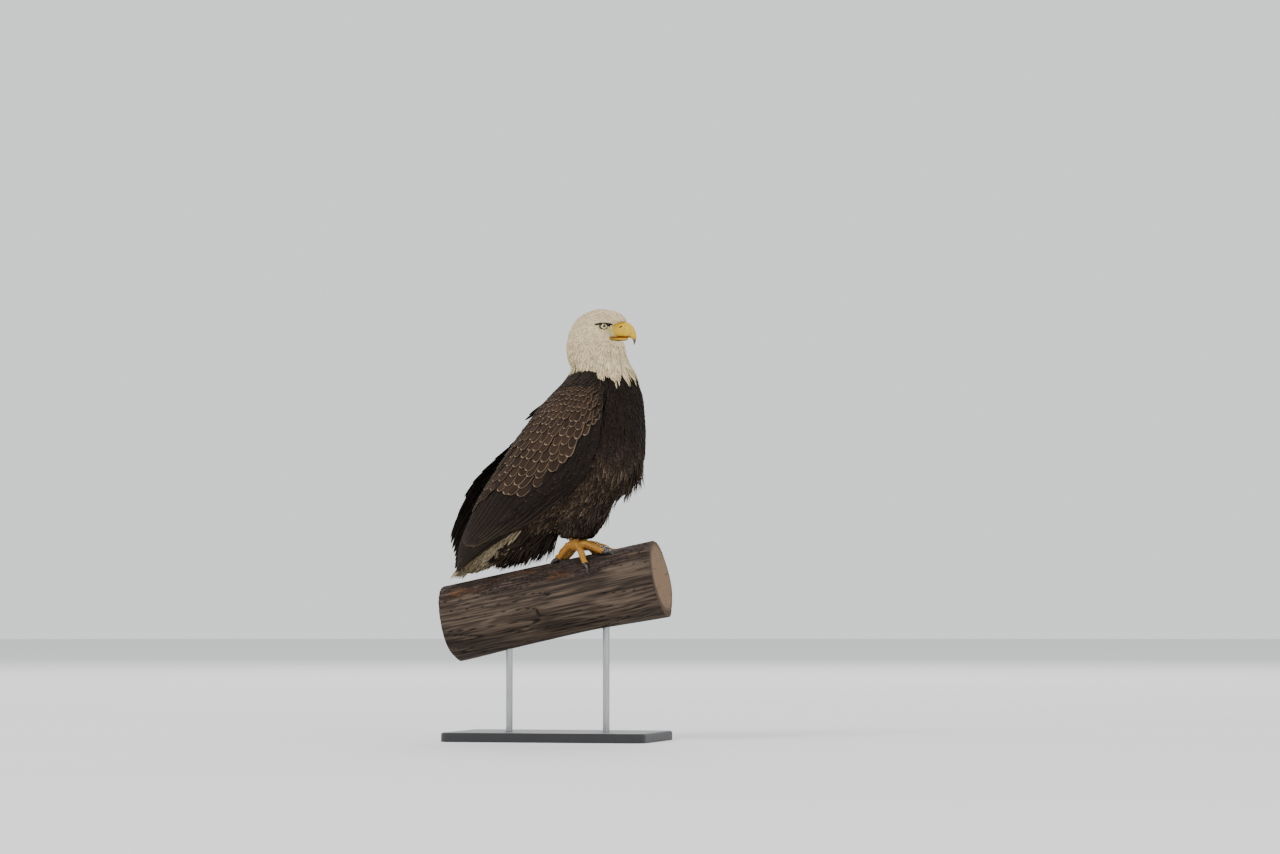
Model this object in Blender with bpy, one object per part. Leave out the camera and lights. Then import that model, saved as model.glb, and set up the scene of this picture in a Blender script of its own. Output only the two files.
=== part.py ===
"""Bald eagle standing on a cut length of log, on a plain stand, life size, in metres, +Z up.

The bird faces +X, its left side is +Y, and the underside of the stand's base is at z = 0.
Every soft part is a loft: a short list of stations, each a flattened ring that runs from a point
on the back of the part to a point on its front, with a half width to each side.
"""

import math

import bmesh
import bpy
from mathutils import Matrix, Vector

GAP = 0.0003

# Log: a short cut length that rises towards the bird's front.
LOG_RADIUS = 0.0925
LOG_SLOPE = math.radians(11.7)
LOG_HEIGHT = 0.338
LOG_BACK = -0.285
LOG_FRONT = 0.235
LOG_SIDES = 24
LOG_RINGS = 8

# Stand: a flat base and two rods that go a little way into the log.
BASE_LENGTH = 0.50
BASE_WIDTH = 0.32
BASE_THICKNESS = 0.022
BASE_CORNER = 0.03
BASE_CENTRE = -0.02
ROD_RADIUS = 0.008
ROD_DEPTH = 0.03
ROD_PLACES = {"stand_rod_front": 0.10, "stand_rod_back": -0.14}

# Trunk: back x, back z, front x, front z, half width, from the neck to the vent.
TRUNK = (
    (0.018, 0.8860, 0.170, 0.8700, 0.064),
    (-0.008, 0.8420, 0.190, 0.8200, 0.088),
    (-0.048, 0.7880, 0.198, 0.7450, 0.105),
    (-0.098, 0.7220, 0.194, 0.6700, 0.112),
    (-0.140, 0.6600, 0.170, 0.6120, 0.110),
    (-0.174, 0.6080, 0.116, 0.5720, 0.101),
    (-0.200, 0.5600, 0.054, 0.5360, 0.087),
    (-0.212, 0.5220, -0.010, 0.5000, 0.072),
)
TRUNK_SIDES = 28
TRUNK_RINGS = 16

# What the folded wings lie over: the trunk, then the tail held a little below them.
WING_BED = (
    (0.018, 0.8860, 0.170, 0.8700, 0.064),
    (-0.008, 0.8420, 0.190, 0.8200, 0.088),
    (-0.048, 0.7880, 0.198, 0.7450, 0.105),
    (-0.100, 0.7220, 0.194, 0.6700, 0.112),
    (-0.146, 0.6600, 0.170, 0.6120, 0.110),
    (-0.186, 0.6040, 0.116, 0.5720, 0.101),
    (-0.218, 0.5520, 0.054, 0.5360, 0.089),
    (-0.240, 0.5100, -0.010, 0.5000, 0.077),
    (-0.255, 0.4750, -0.082, 0.4680, 0.069),
    (-0.264, 0.4450, -0.140, 0.4400, 0.063),
    (-0.268, 0.4200, -0.190, 0.4160, 0.058),
    (-0.270, 0.3980, -0.225, 0.3960, 0.053),
)

# Neck and head, seen from the side, before the head is turned.
NECK = (
    (0.0135, 0.8875, 0.172, 0.8715, 0.0655),
    (0.0060, 0.9040, 0.160, 0.8960, 0.0620),
    (0.0030, 0.9220, 0.150, 0.9200, 0.0580),
    (0.0020, 0.9400, 0.144, 0.9440, 0.0540),
)
HEAD = (
    (0.0022, 0.9410, 0.144, 0.9452, 0.0538),
    (0.0035, 0.9570, 0.146, 0.9600, 0.0490),
    (0.0085, 0.9770, 0.149, 0.9770, 0.0440),
    (0.0175, 0.9960, 0.151, 0.9930, 0.0428),
    (0.0320, 1.0130, 0.149, 1.0080, 0.0380),
    (0.0540, 1.0255, 0.138, 1.0195, 0.0300),
    (0.0760, 1.0320, 0.118, 1.0290, 0.0170),
)
HEAD_SIDES = 24
HEAD_FRONT_TAPER = 0.32
HEAD_TURN = math.radians(10.0)
HEAD_PIVOT = Vector((0.07, 0.0, 0.0))

# Bill: top x, top z, bottom x, bottom z, half width.
CERE = (
    (0.1195, 0.9990, 0.1092, 0.9660, 0.0152),
    (0.1300, 0.9998, 0.1250, 0.9655, 0.0138),
    (0.1400, 1.0002, 0.1395, 0.9652, 0.0126),
)
BILL_UPPER = (
    (0.1403, 1.0000, 0.1398, 0.9652, 0.0124),
    (0.1530, 0.9978, 0.1500, 0.9646, 0.0115),
    (0.1630, 0.9908, 0.1572, 0.9632, 0.0098),
    (0.1692, 0.9790, 0.1605, 0.9615, 0.0076),
    (0.1712, 0.9670, 0.1628, 0.9585, 0.0053),
    (0.1698, 0.9560, 0.1645, 0.9525, 0.0031),
    (0.1668, 0.9475, 0.1650, 0.9468, 0.0012),
)
BILL_LOWER = (
    (0.1086, 0.9640, 0.1072, 0.9568, 0.0135),
    (0.1240, 0.9642, 0.1250, 0.9558, 0.0118),
    (0.1400, 0.9640, 0.1410, 0.9562, 0.0095),
    (0.1520, 0.9632, 0.1500, 0.9580, 0.0060),
)

# Notch in the feathers of the face that the bill stands in: top, bottom and slanted back.
FACE_NOTCH = ((0.1190, 1.0004), (0.1050, 0.9562), (0.2000, 0.9562), (0.2000, 1.0004))

# Eyes: large balls set deep under the brow.
EYE_PLACE = Vector((0.0945, 0.0290, 0.9892))
EYE_RADIUS = 0.0115
BROW_PLACE = Vector((0.101, 0.0322, 0.9990))
BROW_SIZE = (0.024, 0.0075, 0.0042)

# Folded wings: shell over the bed, cut into feather tips at its rear end.
WING_START = 0.46
WING_FRONT_LEAN = 0.95
WING_TOP_ANGLE = math.radians(9.0)
WING_FEATHERS = (
    # end of the feather along the bed, and how far its tip stands out past its edges
    (8.10, 0.45),
    (8.50, 0.45),
    (8.90, 0.50),
    (9.25, 0.50),
    (9.60, 0.55),
    (10.00, 0.60),
    (10.40, 0.65),
    (10.80, 0.70),
    (10.55, 0.60),
)
WING_LOW_EDGE = ((0.46, 97), (1.5, 101), (3.0, 104), (4.6, 107), (6.2, 104), (8.5, 86), (11.0, 64))
WING_THICK = ((0.46, 0.010), (1.2, 0.017), (3.0, 0.018), (5.5, 0.012), (8.0, 0.007), (11.0, 0.004))
WING_CLEARANCE = 0.0030
WING_ROWS = 11
# How far the loosely held left wing moves back, up and out (a share of its width).
LEFT_WING_LIFT = (-0.040, 0.016, 0.10)
STRAY_FEATHER = ((1.20, 0.010), (1.60, 0.026), (2.00, 0.040), (2.40, 0.048))
STRAY_ANGLE = math.radians(14.0)

# Tail: a folded fan of twelve feathers and the soft coverts below it.
TAIL_ROOT = Vector((-0.184, 0.0, 0.5245))
TAIL_TIP = Vector((-0.286, 0.0, 0.3900))
TAIL_FEATHERS = 12
TAIL_HALF_ROOT = 0.034
TAIL_HALF_TIP = 0.047
TAIL_ARCH = 0.015
VENT = (
    (-0.1960, 0.5180, -0.0110, 0.4984, 0.0680),
    (-0.2060, 0.4850, -0.0760, 0.4680, 0.0580),
    (-0.2240, 0.4580, -0.1300, 0.4440, 0.0480),
    (-0.2440, 0.4300, -0.1880, 0.4190, 0.0340),
    (-0.2580, 0.4110, -0.2350, 0.4030, 0.0160),
)

# Legs: feathered thigh, bare shank and foot, four toes with a claw each.
FEET = {"right": (0.031, -0.031), "left": (0.036, 0.031)}
FOOT_HEIGHT = 0.034
THIGH_TOP = (0.034, 0.050, 0.620)
THIGH_RADII = ((0.066, 0.0480), (0.066, 0.0445), (0.058, 0.0395), (0.047, 0.0340), (0.034, 0.0285))
SHANK_RADIUS = 0.0100
SHANK_SHOWN = 0.020
# Toes, hind one first: turn from straight ahead, length, root radius, tip radius, claw length.
TOES = (
    (172.0, 0.040, 0.0100, 0.0078, 0.036),
    (22.0, 0.050, 0.0096, 0.0074, 0.032),
    (-10.0, 0.072, 0.0096, 0.0070, 0.032),
    (-48.0, 0.048, 0.0092, 0.0070, 0.028),
)
# Climb of each length of the claw, from the toe outwards.
CLAW_BENDS = (0.0, 26.0, 12.0, -14.0, -42.0, -66.0, -80.0)

SLOTS = {
    "feathers_brown": ((0.040, 0.026, 0.020, 1.0), 0.75),
    "feathers_white": ((0.720, 0.660, 0.560, 1.0), 0.75),
    "bill_yellow": ((0.720, 0.480, 0.060, 1.0), 0.40),
    "eye_glass": ((0.700, 0.640, 0.420, 1.0), 0.10),
    "foot_skin": ((0.600, 0.320, 0.050, 1.0), 0.55),
    "claw_black": ((0.020, 0.018, 0.018, 1.0), 0.30),
    "log_wood": ((0.130, 0.085, 0.060, 1.0), 0.90),
    "stand_base_paint": ((0.030, 0.030, 0.032, 1.0), 0.50),
    "stand_rod_steel": ((0.550, 0.550, 0.560, 1.0), 0.35),
}


def clear_scene():
    """Empty the scene of everything it starts with."""
    for obj in list(bpy.data.objects):
        bpy.data.objects.remove(obj, do_unlink=True)


def material_for(slot):
    """The Principled material of one slot."""
    found = bpy.data.materials.get(slot)
    if found:
        return found
    colour, roughness = SLOTS[slot]
    made = bpy.data.materials.new(slot)
    made.use_nodes = True
    shader = made.node_tree.nodes["Principled BSDF"]
    shader.inputs["Base Color"].default_value = colour
    shader.inputs["Roughness"].default_value = roughness
    if slot == "stand_rod_steel":
        shader.inputs["Metallic"].default_value = 1.0
    return made


def group_for(name, hidden):
    """A collection under the scene."""
    found = bpy.data.collections.get(name)
    if found:
        return found
    made = bpy.data.collections.new(name)
    made.hide_render = hidden
    bpy.context.scene.collection.children.link(made)
    return made


def spline(values, place):
    """Smooth value at a place along evenly spaced rows of numbers."""
    last = len(values) - 1
    step = min(int(max(place, 0.0)), last - 1)
    part = min(max(place, 0.0), float(last)) - step
    before = values[max(step - 1, 0)]
    here = values[step]
    after = values[step + 1]
    beyond = values[min(step + 2, last)]
    return tuple(
        b
        + 0.5 * part * (c - a + part * (2 * a - 5 * b + 4 * c - d + part * (3 * (b - c) + d - a)))
        for a, b, c, d in zip(before, here, after, beyond)
    )


def between(pairs, place):
    """Straight-line value at a place along (place, value) pairs."""
    for (start, low), (end, high) in zip(pairs, pairs[1:]):
        if place <= end:
            return low + (high - low) * (place - start) / (end - start)
    return pairs[-1][1]


def ring_point(station, angle, grow=0.0, taper=0.0):
    """Point of a station's ring: angle 0 is the back, half a turn is the front."""
    back_x, back_z, front_x, front_z, half = station
    run = Vector((back_x - front_x, 0.0, back_z - front_z)) * 0.5
    middle = Vector((back_x + front_x, 0.0, back_z + front_z)) * 0.5
    reach = run.length + grow
    narrow = 1.0 - taper * (0.5 - 0.5 * math.cos(angle)) ** 2
    side = Vector((0.0, (half + grow) * narrow * math.sin(angle), 0.0))
    return middle + run.normalized() * reach * math.cos(angle) + side


def ring(station, sides, grow=0.0, taper=0.0):
    """All points of a station's ring."""
    return [ring_point(station, math.tau * k / sides, grow, taper) for k in range(sides)]


def mesh_object(name, bm, slot=None):
    """Object from a finished bmesh: a node if it has a slot, a hidden cutter if not."""
    bmesh.ops.recalc_face_normals(bm, faces=bm.faces[:])
    mesh = bpy.data.meshes.new(name)
    bm.to_mesh(mesh)
    bm.free()
    obj = bpy.data.objects.new(name, mesh)
    if slot:
        mesh.materials.append(material_for(slot))
        group_for("bald_eagle", False).objects.link(obj)
    else:
        obj.hide_render = True
        obj.display_type = "WIRE"
        group_for("cutters", True).objects.link(obj)
    for face in mesh.polygons:
        face.use_smooth = True
    return obj


def skinned(rings):
    """Closed bmesh through rings of equal count, with a flat cap at each end."""
    bm = bmesh.new()
    rows = [[bm.verts.new(point) for point in points] for points in rings]
    count = len(rows[0])
    for low, high in zip(rows, rows[1:]):
        for k in range(count):
            bm.faces.new((low[k], low[(k + 1) % count], high[(k + 1) % count], high[k]))
    bm.faces.new(rows[0])
    bm.faces.new(rows[-1])
    return bm


def grown_copy(obj, distance):
    """Hidden cutter: the object with every point moved out along its normal."""
    bm = bmesh.new()
    bm.from_mesh(obj.data)
    bm.normal_update()
    for vert in bm.verts:
        vert.co += vert.normal * distance * max(1.0, min(vert.calc_shell_factor(), 2.0))
    return mesh_object(obj.name + "_cutter", bm)


def drop_shavings(bm):
    """Keep only the largest loose piece that a cut has left."""
    waiting = set(bm.verts)
    pieces = []
    while waiting:
        piece = set()
        front = [waiting.pop()]
        while front:
            vert = front.pop()
            piece.add(vert)
            for edge in vert.link_edges:
                far = edge.other_vert(vert)
                if far in waiting:
                    waiting.remove(far)
                    front.append(far)
        pieces.append(piece)
    pieces.sort(key=len)
    for piece in pieces[:-1]:
        bmesh.ops.delete(bm, geom=list(piece), context="VERTS")


def combine(obj, other, operation):
    """Apply one exact Boolean to the object and keep its slot."""
    modifier = obj.modifiers.new("combine", "BOOLEAN")
    modifier.operation = operation
    modifier.solver = "EXACT"
    modifier.object = other
    bpy.context.view_layer.update()
    graph = bpy.context.evaluated_depsgraph_get()
    result = bpy.data.meshes.new_from_object(obj.evaluated_get(graph))
    obj.modifiers.remove(modifier)
    bm = bmesh.new()
    bm.from_mesh(result)
    bmesh.ops.remove_doubles(bm, verts=bm.verts[:], dist=0.00002)
    bmesh.ops.dissolve_degenerate(bm, edges=bm.edges[:], dist=0.00002)
    drop_shavings(bm)
    bm.to_mesh(obj.data)
    bm.free()
    bpy.data.meshes.remove(result)
    bpy.data.objects.remove(other, do_unlink=True)


def subtract(obj, other, gap=GAP):
    """Cut a slightly grown copy of another node out of this one."""
    combine(obj, grown_copy(other, gap), "DIFFERENCE")


def log_axis(x):
    """Centre of the log above a place along the bird."""
    return Vector((x, 0.0, LOG_HEIGHT + math.tan(LOG_SLOPE) * x))


def log_top(x, y):
    """Point on top of the plain round log."""
    rise = math.sqrt(max(LOG_RADIUS**2 - y * y, 0.0)) / math.cos(LOG_SLOPE)
    return log_axis(x) + Vector((0.0, y, rise))


def make_log():
    """Cut length of weathered log, a little out of round, with square sawn ends."""
    up = Vector((-math.sin(LOG_SLOPE), 0.0, math.cos(LOG_SLOPE)))
    rings = []
    for row in range(LOG_RINGS + 1):
        share = row / LOG_RINGS
        x = LOG_BACK + (LOG_FRONT - LOG_BACK) * share
        centre = log_axis(x)
        points = []
        for k in range(LOG_SIDES):
            angle = math.tau * k / LOG_SIDES
            low = 0.5 - 0.5 * math.cos(angle)
            wave = 0.035 * math.sin(3 * angle + 4 * share) + 0.025 * math.sin(5 * angle - 7 * share)
            knot = 0.10 * math.exp(-((angle - 4.4) ** 2) * 5 - (share - 0.80) ** 2 * 60)
            radius = LOG_RADIUS * (1.0 + low * wave + low * knot)
            side = Vector((0.0, math.sin(angle), 0.0))
            points.append(centre + (up * math.cos(angle) + side) * radius)
        rings.append(points)
    return mesh_object("perch", skinned(rings), "log_wood")


def make_stand(log):
    """Flat base with rounded corners, and two rods let into the log."""
    bm = bmesh.new()
    outline = []
    for corner_x, corner_y, start in ((1, 1, 0), (-1, 1, 90), (-1, -1, 180), (1, -1, 270)):
        for step in range(6):
            angle = math.radians(start + 18 * step)
            x = BASE_CENTRE + corner_x * (BASE_LENGTH / 2 - BASE_CORNER) + BASE_CORNER * math.cos(angle)
            y = corner_y * (BASE_WIDTH / 2 - BASE_CORNER) + BASE_CORNER * math.sin(angle)
            outline.append(bm.verts.new((x, y, 0.0)))
    bottom = bm.faces.new(outline)
    grown = bmesh.ops.extrude_face_region(bm, geom=[bottom])
    top = [item for item in grown["geom"] if isinstance(item, bmesh.types.BMVert)]
    bmesh.ops.translate(bm, verts=top, vec=(0.0, 0.0, BASE_THICKNESS))
    rim = [edge for edge in bm.edges if min(v.co.z for v in edge.verts) > BASE_THICKNESS / 2]
    bmesh.ops.bevel(bm, geom=rim, offset=0.003, segments=1, affect="EDGES")
    base = mesh_object("stand_base", bm, "stand_base_paint")
    for face in base.data.polygons:
        face.use_smooth = False
    for name, x in ROD_PLACES.items():
        foot = BASE_THICKNESS + GAP
        head = log_axis(x).z - LOG_RADIUS + ROD_DEPTH
        rings = []
        for z in (foot, head):
            rings.append(
                [
                    Vector((x + ROD_RADIUS * math.cos(a), ROD_RADIUS * math.sin(a), z))
                    for a in (math.tau * k / 20 for k in range(20))
                ]
            )
        rod = mesh_object(name, skinned(rings), "stand_rod_steel")
        subtract(log, rod)


def make_trunk():
    """Breast, back and belly in one."""
    last = len(TRUNK) - 1
    rings = []
    for row in range(TRUNK_RINGS + 1):
        station = spline(TRUNK, last * row / TRUNK_RINGS)
        rings.append(ring(station, TRUNK_SIDES))
    return mesh_object("trunk", skinned(rings), "feathers_brown")


def turned(points):
    """Points of the head once it looks a little to the bird's left."""
    turn = Matrix.Rotation(HEAD_TURN, 4, "Z")
    return [HEAD_PIVOT + turn @ (point - HEAD_PIVOT) for point in points]


def make_neck():
    """Neck, which carries the head's turn gradually."""
    rows = 5
    rings = []
    for row in range(rows + 1):
        share = row / rows
        station = spline(NECK, (len(NECK) - 1) * share)
        plain = ring(station, HEAD_SIDES, taper=HEAD_FRONT_TAPER * share)
        full = turned(plain)
        rings.append([a.lerp(b, share) for a, b in zip(plain, full)])
    return mesh_object("neck", skinned(rings), "feathers_white")


def make_head():
    """Skull with its feathers, brow ridges and a rounded crown."""
    rows = 10
    rings = []
    for row in range(rows + 1):
        station = spline(HEAD, (len(HEAD) - 1) * row / rows)
        rings.append(turned(ring(station, HEAD_SIDES, taper=HEAD_FRONT_TAPER)))
    head = mesh_object("head", skinned(rings), "feathers_white")
    for side in (-1, 1):
        bm = bmesh.new()
        bmesh.ops.create_uvsphere(bm, u_segments=12, v_segments=6, radius=1.0)
        size = Matrix.Diagonal((*BROW_SIZE, 1.0))
        lean = Matrix.Rotation(math.radians(-14.0 * side), 4, "Z") @ Matrix.Rotation(math.radians(7.0), 4, "Y")
        place = Matrix.Translation(BROW_PLACE * Vector((1, side, 1)))
        bmesh.ops.transform(bm, matrix=place @ lean @ size, verts=bm.verts[:])
        for vert in bm.verts:
            vert.co = turned([vert.co])[0]
        combine(head, mesh_object("brow", bm), "UNION")
    rings = [turned([Vector((x, y, z)) for x, z in FACE_NOTCH]) for y in (-0.06, 0.06)]
    combine(head, mesh_object("face_notch", skinned(rings)), "DIFFERENCE")
    return head


def make_bill(name, table, rows, sides, power):
    """One part of the bill, narrower at its top than an oval."""
    rings = []
    for row in range(rows + 1):
        station = spline(table, (len(table) - 1) * row / rows)
        points = []
        for point in ring(station, sides):
            across = point.y / station[4]
            point.y = station[4] * math.copysign(abs(across) ** power, across)
            points.append(point)
        rings.append(turned(points))
    return mesh_object(name, skinned(rings), "bill_yellow")


def make_eyes(head):
    """Eyeballs let into the head."""
    for name, side in (("eye_right", -1), ("eye_left", 1)):
        bm = bmesh.new()
        bmesh.ops.create_uvsphere(bm, u_segments=12, v_segments=8, radius=EYE_RADIUS)
        centre = turned([EYE_PLACE * Vector((1, side, 1))])[0]
        bmesh.ops.translate(bm, verts=bm.verts[:], vec=centre)
        eye = mesh_object(name, bm, "eye_glass")
        subtract(head, eye)


def wing_point(place, angle, grow, side, lift):
    """Point over the wing's bed; the lift raises the tip of a loosely held wing."""
    station = spline(WING_BED, place)
    point = ring_point(station, angle, grow)
    raised = min(max(place - 1.8, 0.0) / 3.4, 1.0)
    raised = raised * raised * (3.0 - 2.0 * raised) - 0.035 * max(place - 5.5, 0.0)
    wide = point.y * side * (1.0 + lift[2] * raised)
    return Vector((point.x + lift[0] * raised, wide, point.z + lift[1] * raised))


def make_wing(name, side, lift):
    """Folded wing: a shell that follows the body and ends in long feather tips."""
    columns = 2 * len(WING_FEATHERS) + 1
    outer = []
    inner = []
    for column in range(columns):
        share = column / (columns - 1)
        index = min(column // 2, len(WING_FEATHERS) - 1)
        end, stand_out = WING_FEATHERS[index]
        if column % 2 == 0:
            neighbour = WING_FEATHERS[max(index - 1, 0)][0]
            end = min(end, neighbour) - stand_out
        outside = []
        inside = []
        for row in range(WING_ROWS + 1):
            along = row / WING_ROWS
            start = WING_START + WING_FRONT_LEAN * (share - 0.8) ** 2 + 32.0 * max(share - 0.76, 0.0) ** 3
            place = start + (end - start) * along
            low = math.radians(between(WING_LOW_EDGE, place))
            angle = WING_TOP_ANGLE + (low - WING_TOP_ANGLE) * share
            thick = between(WING_THICK, place)
            edge = min(share, 1.0 - share) * 7.0
            front = min(along * 9.0, 1.0)
            shape = min(1.0, 0.30 + 0.70 * min(edge, 1.0)) * (0.35 + 0.65 * front)
            outside.append(wing_point(place, angle, WING_CLEARANCE + thick * shape, side, lift))
            inside.append(wing_point(place, angle, WING_CLEARANCE, side, lift))
        outer.append(outside)
        inner.append(inside)
    return mesh_object(name, plate(outer, inner), "feathers_brown")


def add_stray_feather(wing, lift):
    """Shoulder feather of the left wing that stands a little off the back."""
    path = [wing_point(place, STRAY_ANGLE, grow, 1, lift) for place, grow in STRAY_FEATHER]
    rings = tube(path, (0.007, 0.010, 0.008, 0.0025), 8, 0.22)
    combine(wing, mesh_object("stray_feather", skinned(rings)), "UNION")


def plate(outer, inner):
    """Closed bmesh between two grids of points that share their outline."""
    bm = bmesh.new()
    sheets = [[[bm.verts.new(point) for point in line] for line in grid] for grid in (outer, inner)]
    columns = len(outer)
    rows = len(outer[0])
    for sheet in sheets:
        for i in range(columns - 1):
            for j in range(rows - 1):
                bm.faces.new((sheet[i][j], sheet[i + 1][j], sheet[i + 1][j + 1], sheet[i][j + 1]))
    rim = [(i, 0) for i in range(columns)]
    rim += [(columns - 1, j) for j in range(1, rows)]
    rim += [(i, rows - 1) for i in range(columns - 2, -1, -1)]
    rim += [(0, j) for j in range(rows - 2, 0, -1)]
    for (i, j), (m, n) in zip(rim, rim[1:] + rim[:1]):
        bm.faces.new((sheets[0][i][j], sheets[0][m][n], sheets[1][m][n], sheets[1][i][j]))
    return bm


def make_tail():
    """Folded tail fan, slightly arched, with a rounded tip on each feather."""
    run = TAIL_TIP - TAIL_ROOT
    along = run.normalized()
    up = Vector((along.z, 0.0, -along.x))
    if up.x > 0:
        up = -up
    columns = 2 * TAIL_FEATHERS + 1
    rows = 3
    upper = []
    lower = []
    for column in range(columns):
        across = 2.0 * column / (columns - 1) - 1.0
        reach = run.length * (1.0 - 0.05 * across * across) - (0.008 if column % 2 == 0 else 0.0)
        above = []
        below = []
        for row in range(rows + 1):
            share = row / rows
            half = TAIL_HALF_ROOT + (TAIL_HALF_TIP - TAIL_HALF_ROOT) * share
            thick = 0.009 * (1.0 - share) + 0.0026
            drop = TAIL_ARCH * across * across
            edge = 0.35 + 0.65 * min(1.0, (1.0 - abs(across)) * 4.0)
            middle = TAIL_ROOT + along * reach * share + Vector((0.0, half * across, 0.0)) - up * drop
            above.append(middle + up * thick * 0.5 * edge)
            below.append(middle - up * thick * 0.5 * edge)
        upper.append(above)
        lower.append(below)
    return mesh_object("tail", plate(upper, lower), "feathers_white")


def make_vent(tail):
    """Soft coverts below the tail."""
    rings = []
    for row in range(7):
        station = spline(VENT, (len(VENT) - 1) * row / 6)
        rings.append(ring(station, 16))
    vent = mesh_object("tail_coverts", skinned(rings), "feathers_white")
    subtract(vent, tail)
    return vent


def tube(path, radii, sides, flat=1.0):
    """Rings of a tapered limb along a path; flat squashes it from above."""
    rings = []
    for index, centre in enumerate(path):
        ahead = path[min(index + 1, len(path) - 1)] - path[max(index - 1, 0)]
        forward = ahead.normalized()
        across = forward.cross(Vector((0.0, 0.0, 1.0)))
        if across.length < 0.2:
            across = forward.cross(Vector((1.0, 0.0, 0.0)))
        across.normalize()
        upward = across.cross(forward)
        radius = radii[index]
        rings.append(
            [
                centre + (across * math.cos(a) + upward * math.sin(a) * flat) * radius
                for a in (math.tau * k / sides for k in range(sides))
            ]
        )
    return rings


def make_leg(side_name, trunk, log):
    """Thigh, shank, toes and claws of one leg."""
    foot_x, foot_y = FEET[side_name]
    sign = math.copysign(1.0, foot_y)
    ground = log_top(foot_x, foot_y)
    pad = ground + Vector((0.0, 0.0, FOOT_HEIGHT))
    ankle = pad + Vector((-0.006, 0.0, SHANK_SHOWN))
    top = Vector((THIGH_TOP[0] + foot_x - 0.037, sign * THIGH_TOP[1], THIGH_TOP[2]))
    rings = []
    rows = len(THIGH_RADII) - 1
    for row in range(7):
        share = row / 6
        centre = top.lerp(ankle, share)
        centre.x += 0.012 * math.sin(math.pi * share)
        deep, wide = spline(THIGH_RADII, rows * share)
        rings.append(
            [
                centre + Vector((deep * math.cos(a), wide * math.sin(a), 0.0))
                for a in (math.tau * k / 14 for k in range(14))
            ]
        )
    thigh = mesh_object("thigh_" + side_name, skinned(rings), "feathers_brown")
    subtract(thigh, trunk)
    path = [
        ankle + Vector((-0.003, 0.0, 0.010)),
        ankle.lerp(pad, 0.5),
        pad + Vector((0.001, 0.0, 0.004)),
        pad + Vector((0.003, 0.0, -0.006)),
        pad + Vector((0.003, 0.0, -0.014)),
    ]
    radii = [SHANK_RADIUS, SHANK_RADIUS, 0.013, 0.0145, 0.009]
    foot = mesh_object("foot_" + side_name, skinned(tube(path, radii, 12)), "foot_skin")
    for number, (turn, length, root, tip, claw) in enumerate(TOES, 1):
        heading = math.radians(turn * -sign)
        end, direction = add_toe(foot, pad, heading, (length, root, tip))
        make_claw(f"claw_{number}_{side_name}", end, direction, tip * 0.86, claw, log)
    subtract(foot, log)
    subtract(thigh, foot)


def add_toe(foot, pad, heading, sizes):
    """One toe that comes down on to the log; gives back its tip and where it points."""
    length, root, tip = sizes
    forward = Vector((math.cos(heading), math.sin(heading), 0.0))
    path = []
    radii = []
    steps = 7
    for step in range(steps + 1):
        share = step / steps
        flat = pad + forward * (0.004 + length * share)
        radius = root + (tip - root) * share
        radius *= 1.0 + 0.09 * math.cos(share * math.tau * 3.0)
        rest = log_top(flat.x, flat.y).z + radius
        end_place = pad + forward * (0.004 + length)
        landing = log_top(end_place.x, end_place.y).z + tip
        arch = 0.005 * math.sin(math.pi * min(share * 1.25, 1.0))
        fall = share**1.35
        height = max(rest, (pad.z - 0.002) * (1.0 - fall) + landing * fall + arch)
        path.append(Vector((flat.x, flat.y, height)))
        radii.append(radius)
    toe = mesh_object("toe", skinned(tube(path, radii, 9)))
    combine(foot, toe, "UNION")
    return path[-1], (path[-1] - path[-2]).normalized()


def make_claw(name, start, direction, radius, length, log):
    """Hooked claw that bends over and comes down to the log."""
    points = []
    radii = []
    up = Vector((0.0, 0.0, 1.0))
    reach = start + direction * 2 * GAP
    for step, bend in enumerate(CLAW_BENDS):
        points.append(reach)
        radii.append(radius * (1.0 - step / len(CLAW_BENDS)) ** 0.8)
        turn = math.radians(bend)
        reach = reach + (direction * math.cos(turn) + up * math.sin(turn)) * length / len(CLAW_BENDS)
    claw = mesh_object(name, skinned(tube(points, radii, 7)), "claw_black")
    subtract(claw, log)


def main():
    clear_scene()
    log = make_log()
    make_stand(log)
    trunk = make_trunk()
    make_neck()
    head = make_head()
    make_bill("cere", CERE, 4, 12, 0.85)
    make_bill("bill_upper", BILL_UPPER, 11, 12, 0.85)
    make_bill("bill_lower", BILL_LOWER, 5, 12, 0.85)
    for name in ("cere", "bill_upper", "bill_lower"):
        subtract(head, bpy.data.objects[name])
    make_eyes(head)
    tail = make_tail()
    subtract(tail, trunk)
    right_wing = make_wing("wing_right", -1, (0.0, 0.0, 0.0))
    left_wing = make_wing("wing_left", 1, LEFT_WING_LIFT)
    add_stray_feather(left_wing, LEFT_WING_LIFT)
    vent = make_vent(tail)
    for wing in (right_wing, left_wing):
        subtract(tail, wing, 0.0010)
        subtract(vent, wing, 0.0010)
    for side_name in FEET:
        make_leg(side_name, trunk, log)


main()
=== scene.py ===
"""Looks of a life-size bald eagle on a cut log: skin, plumage, bill, eyes, feet, log, stand and stage."""

import math

import bmesh
import bpy
import numpy as np
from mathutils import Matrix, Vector
from mathutils.bvhtree import BVHTree


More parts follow.
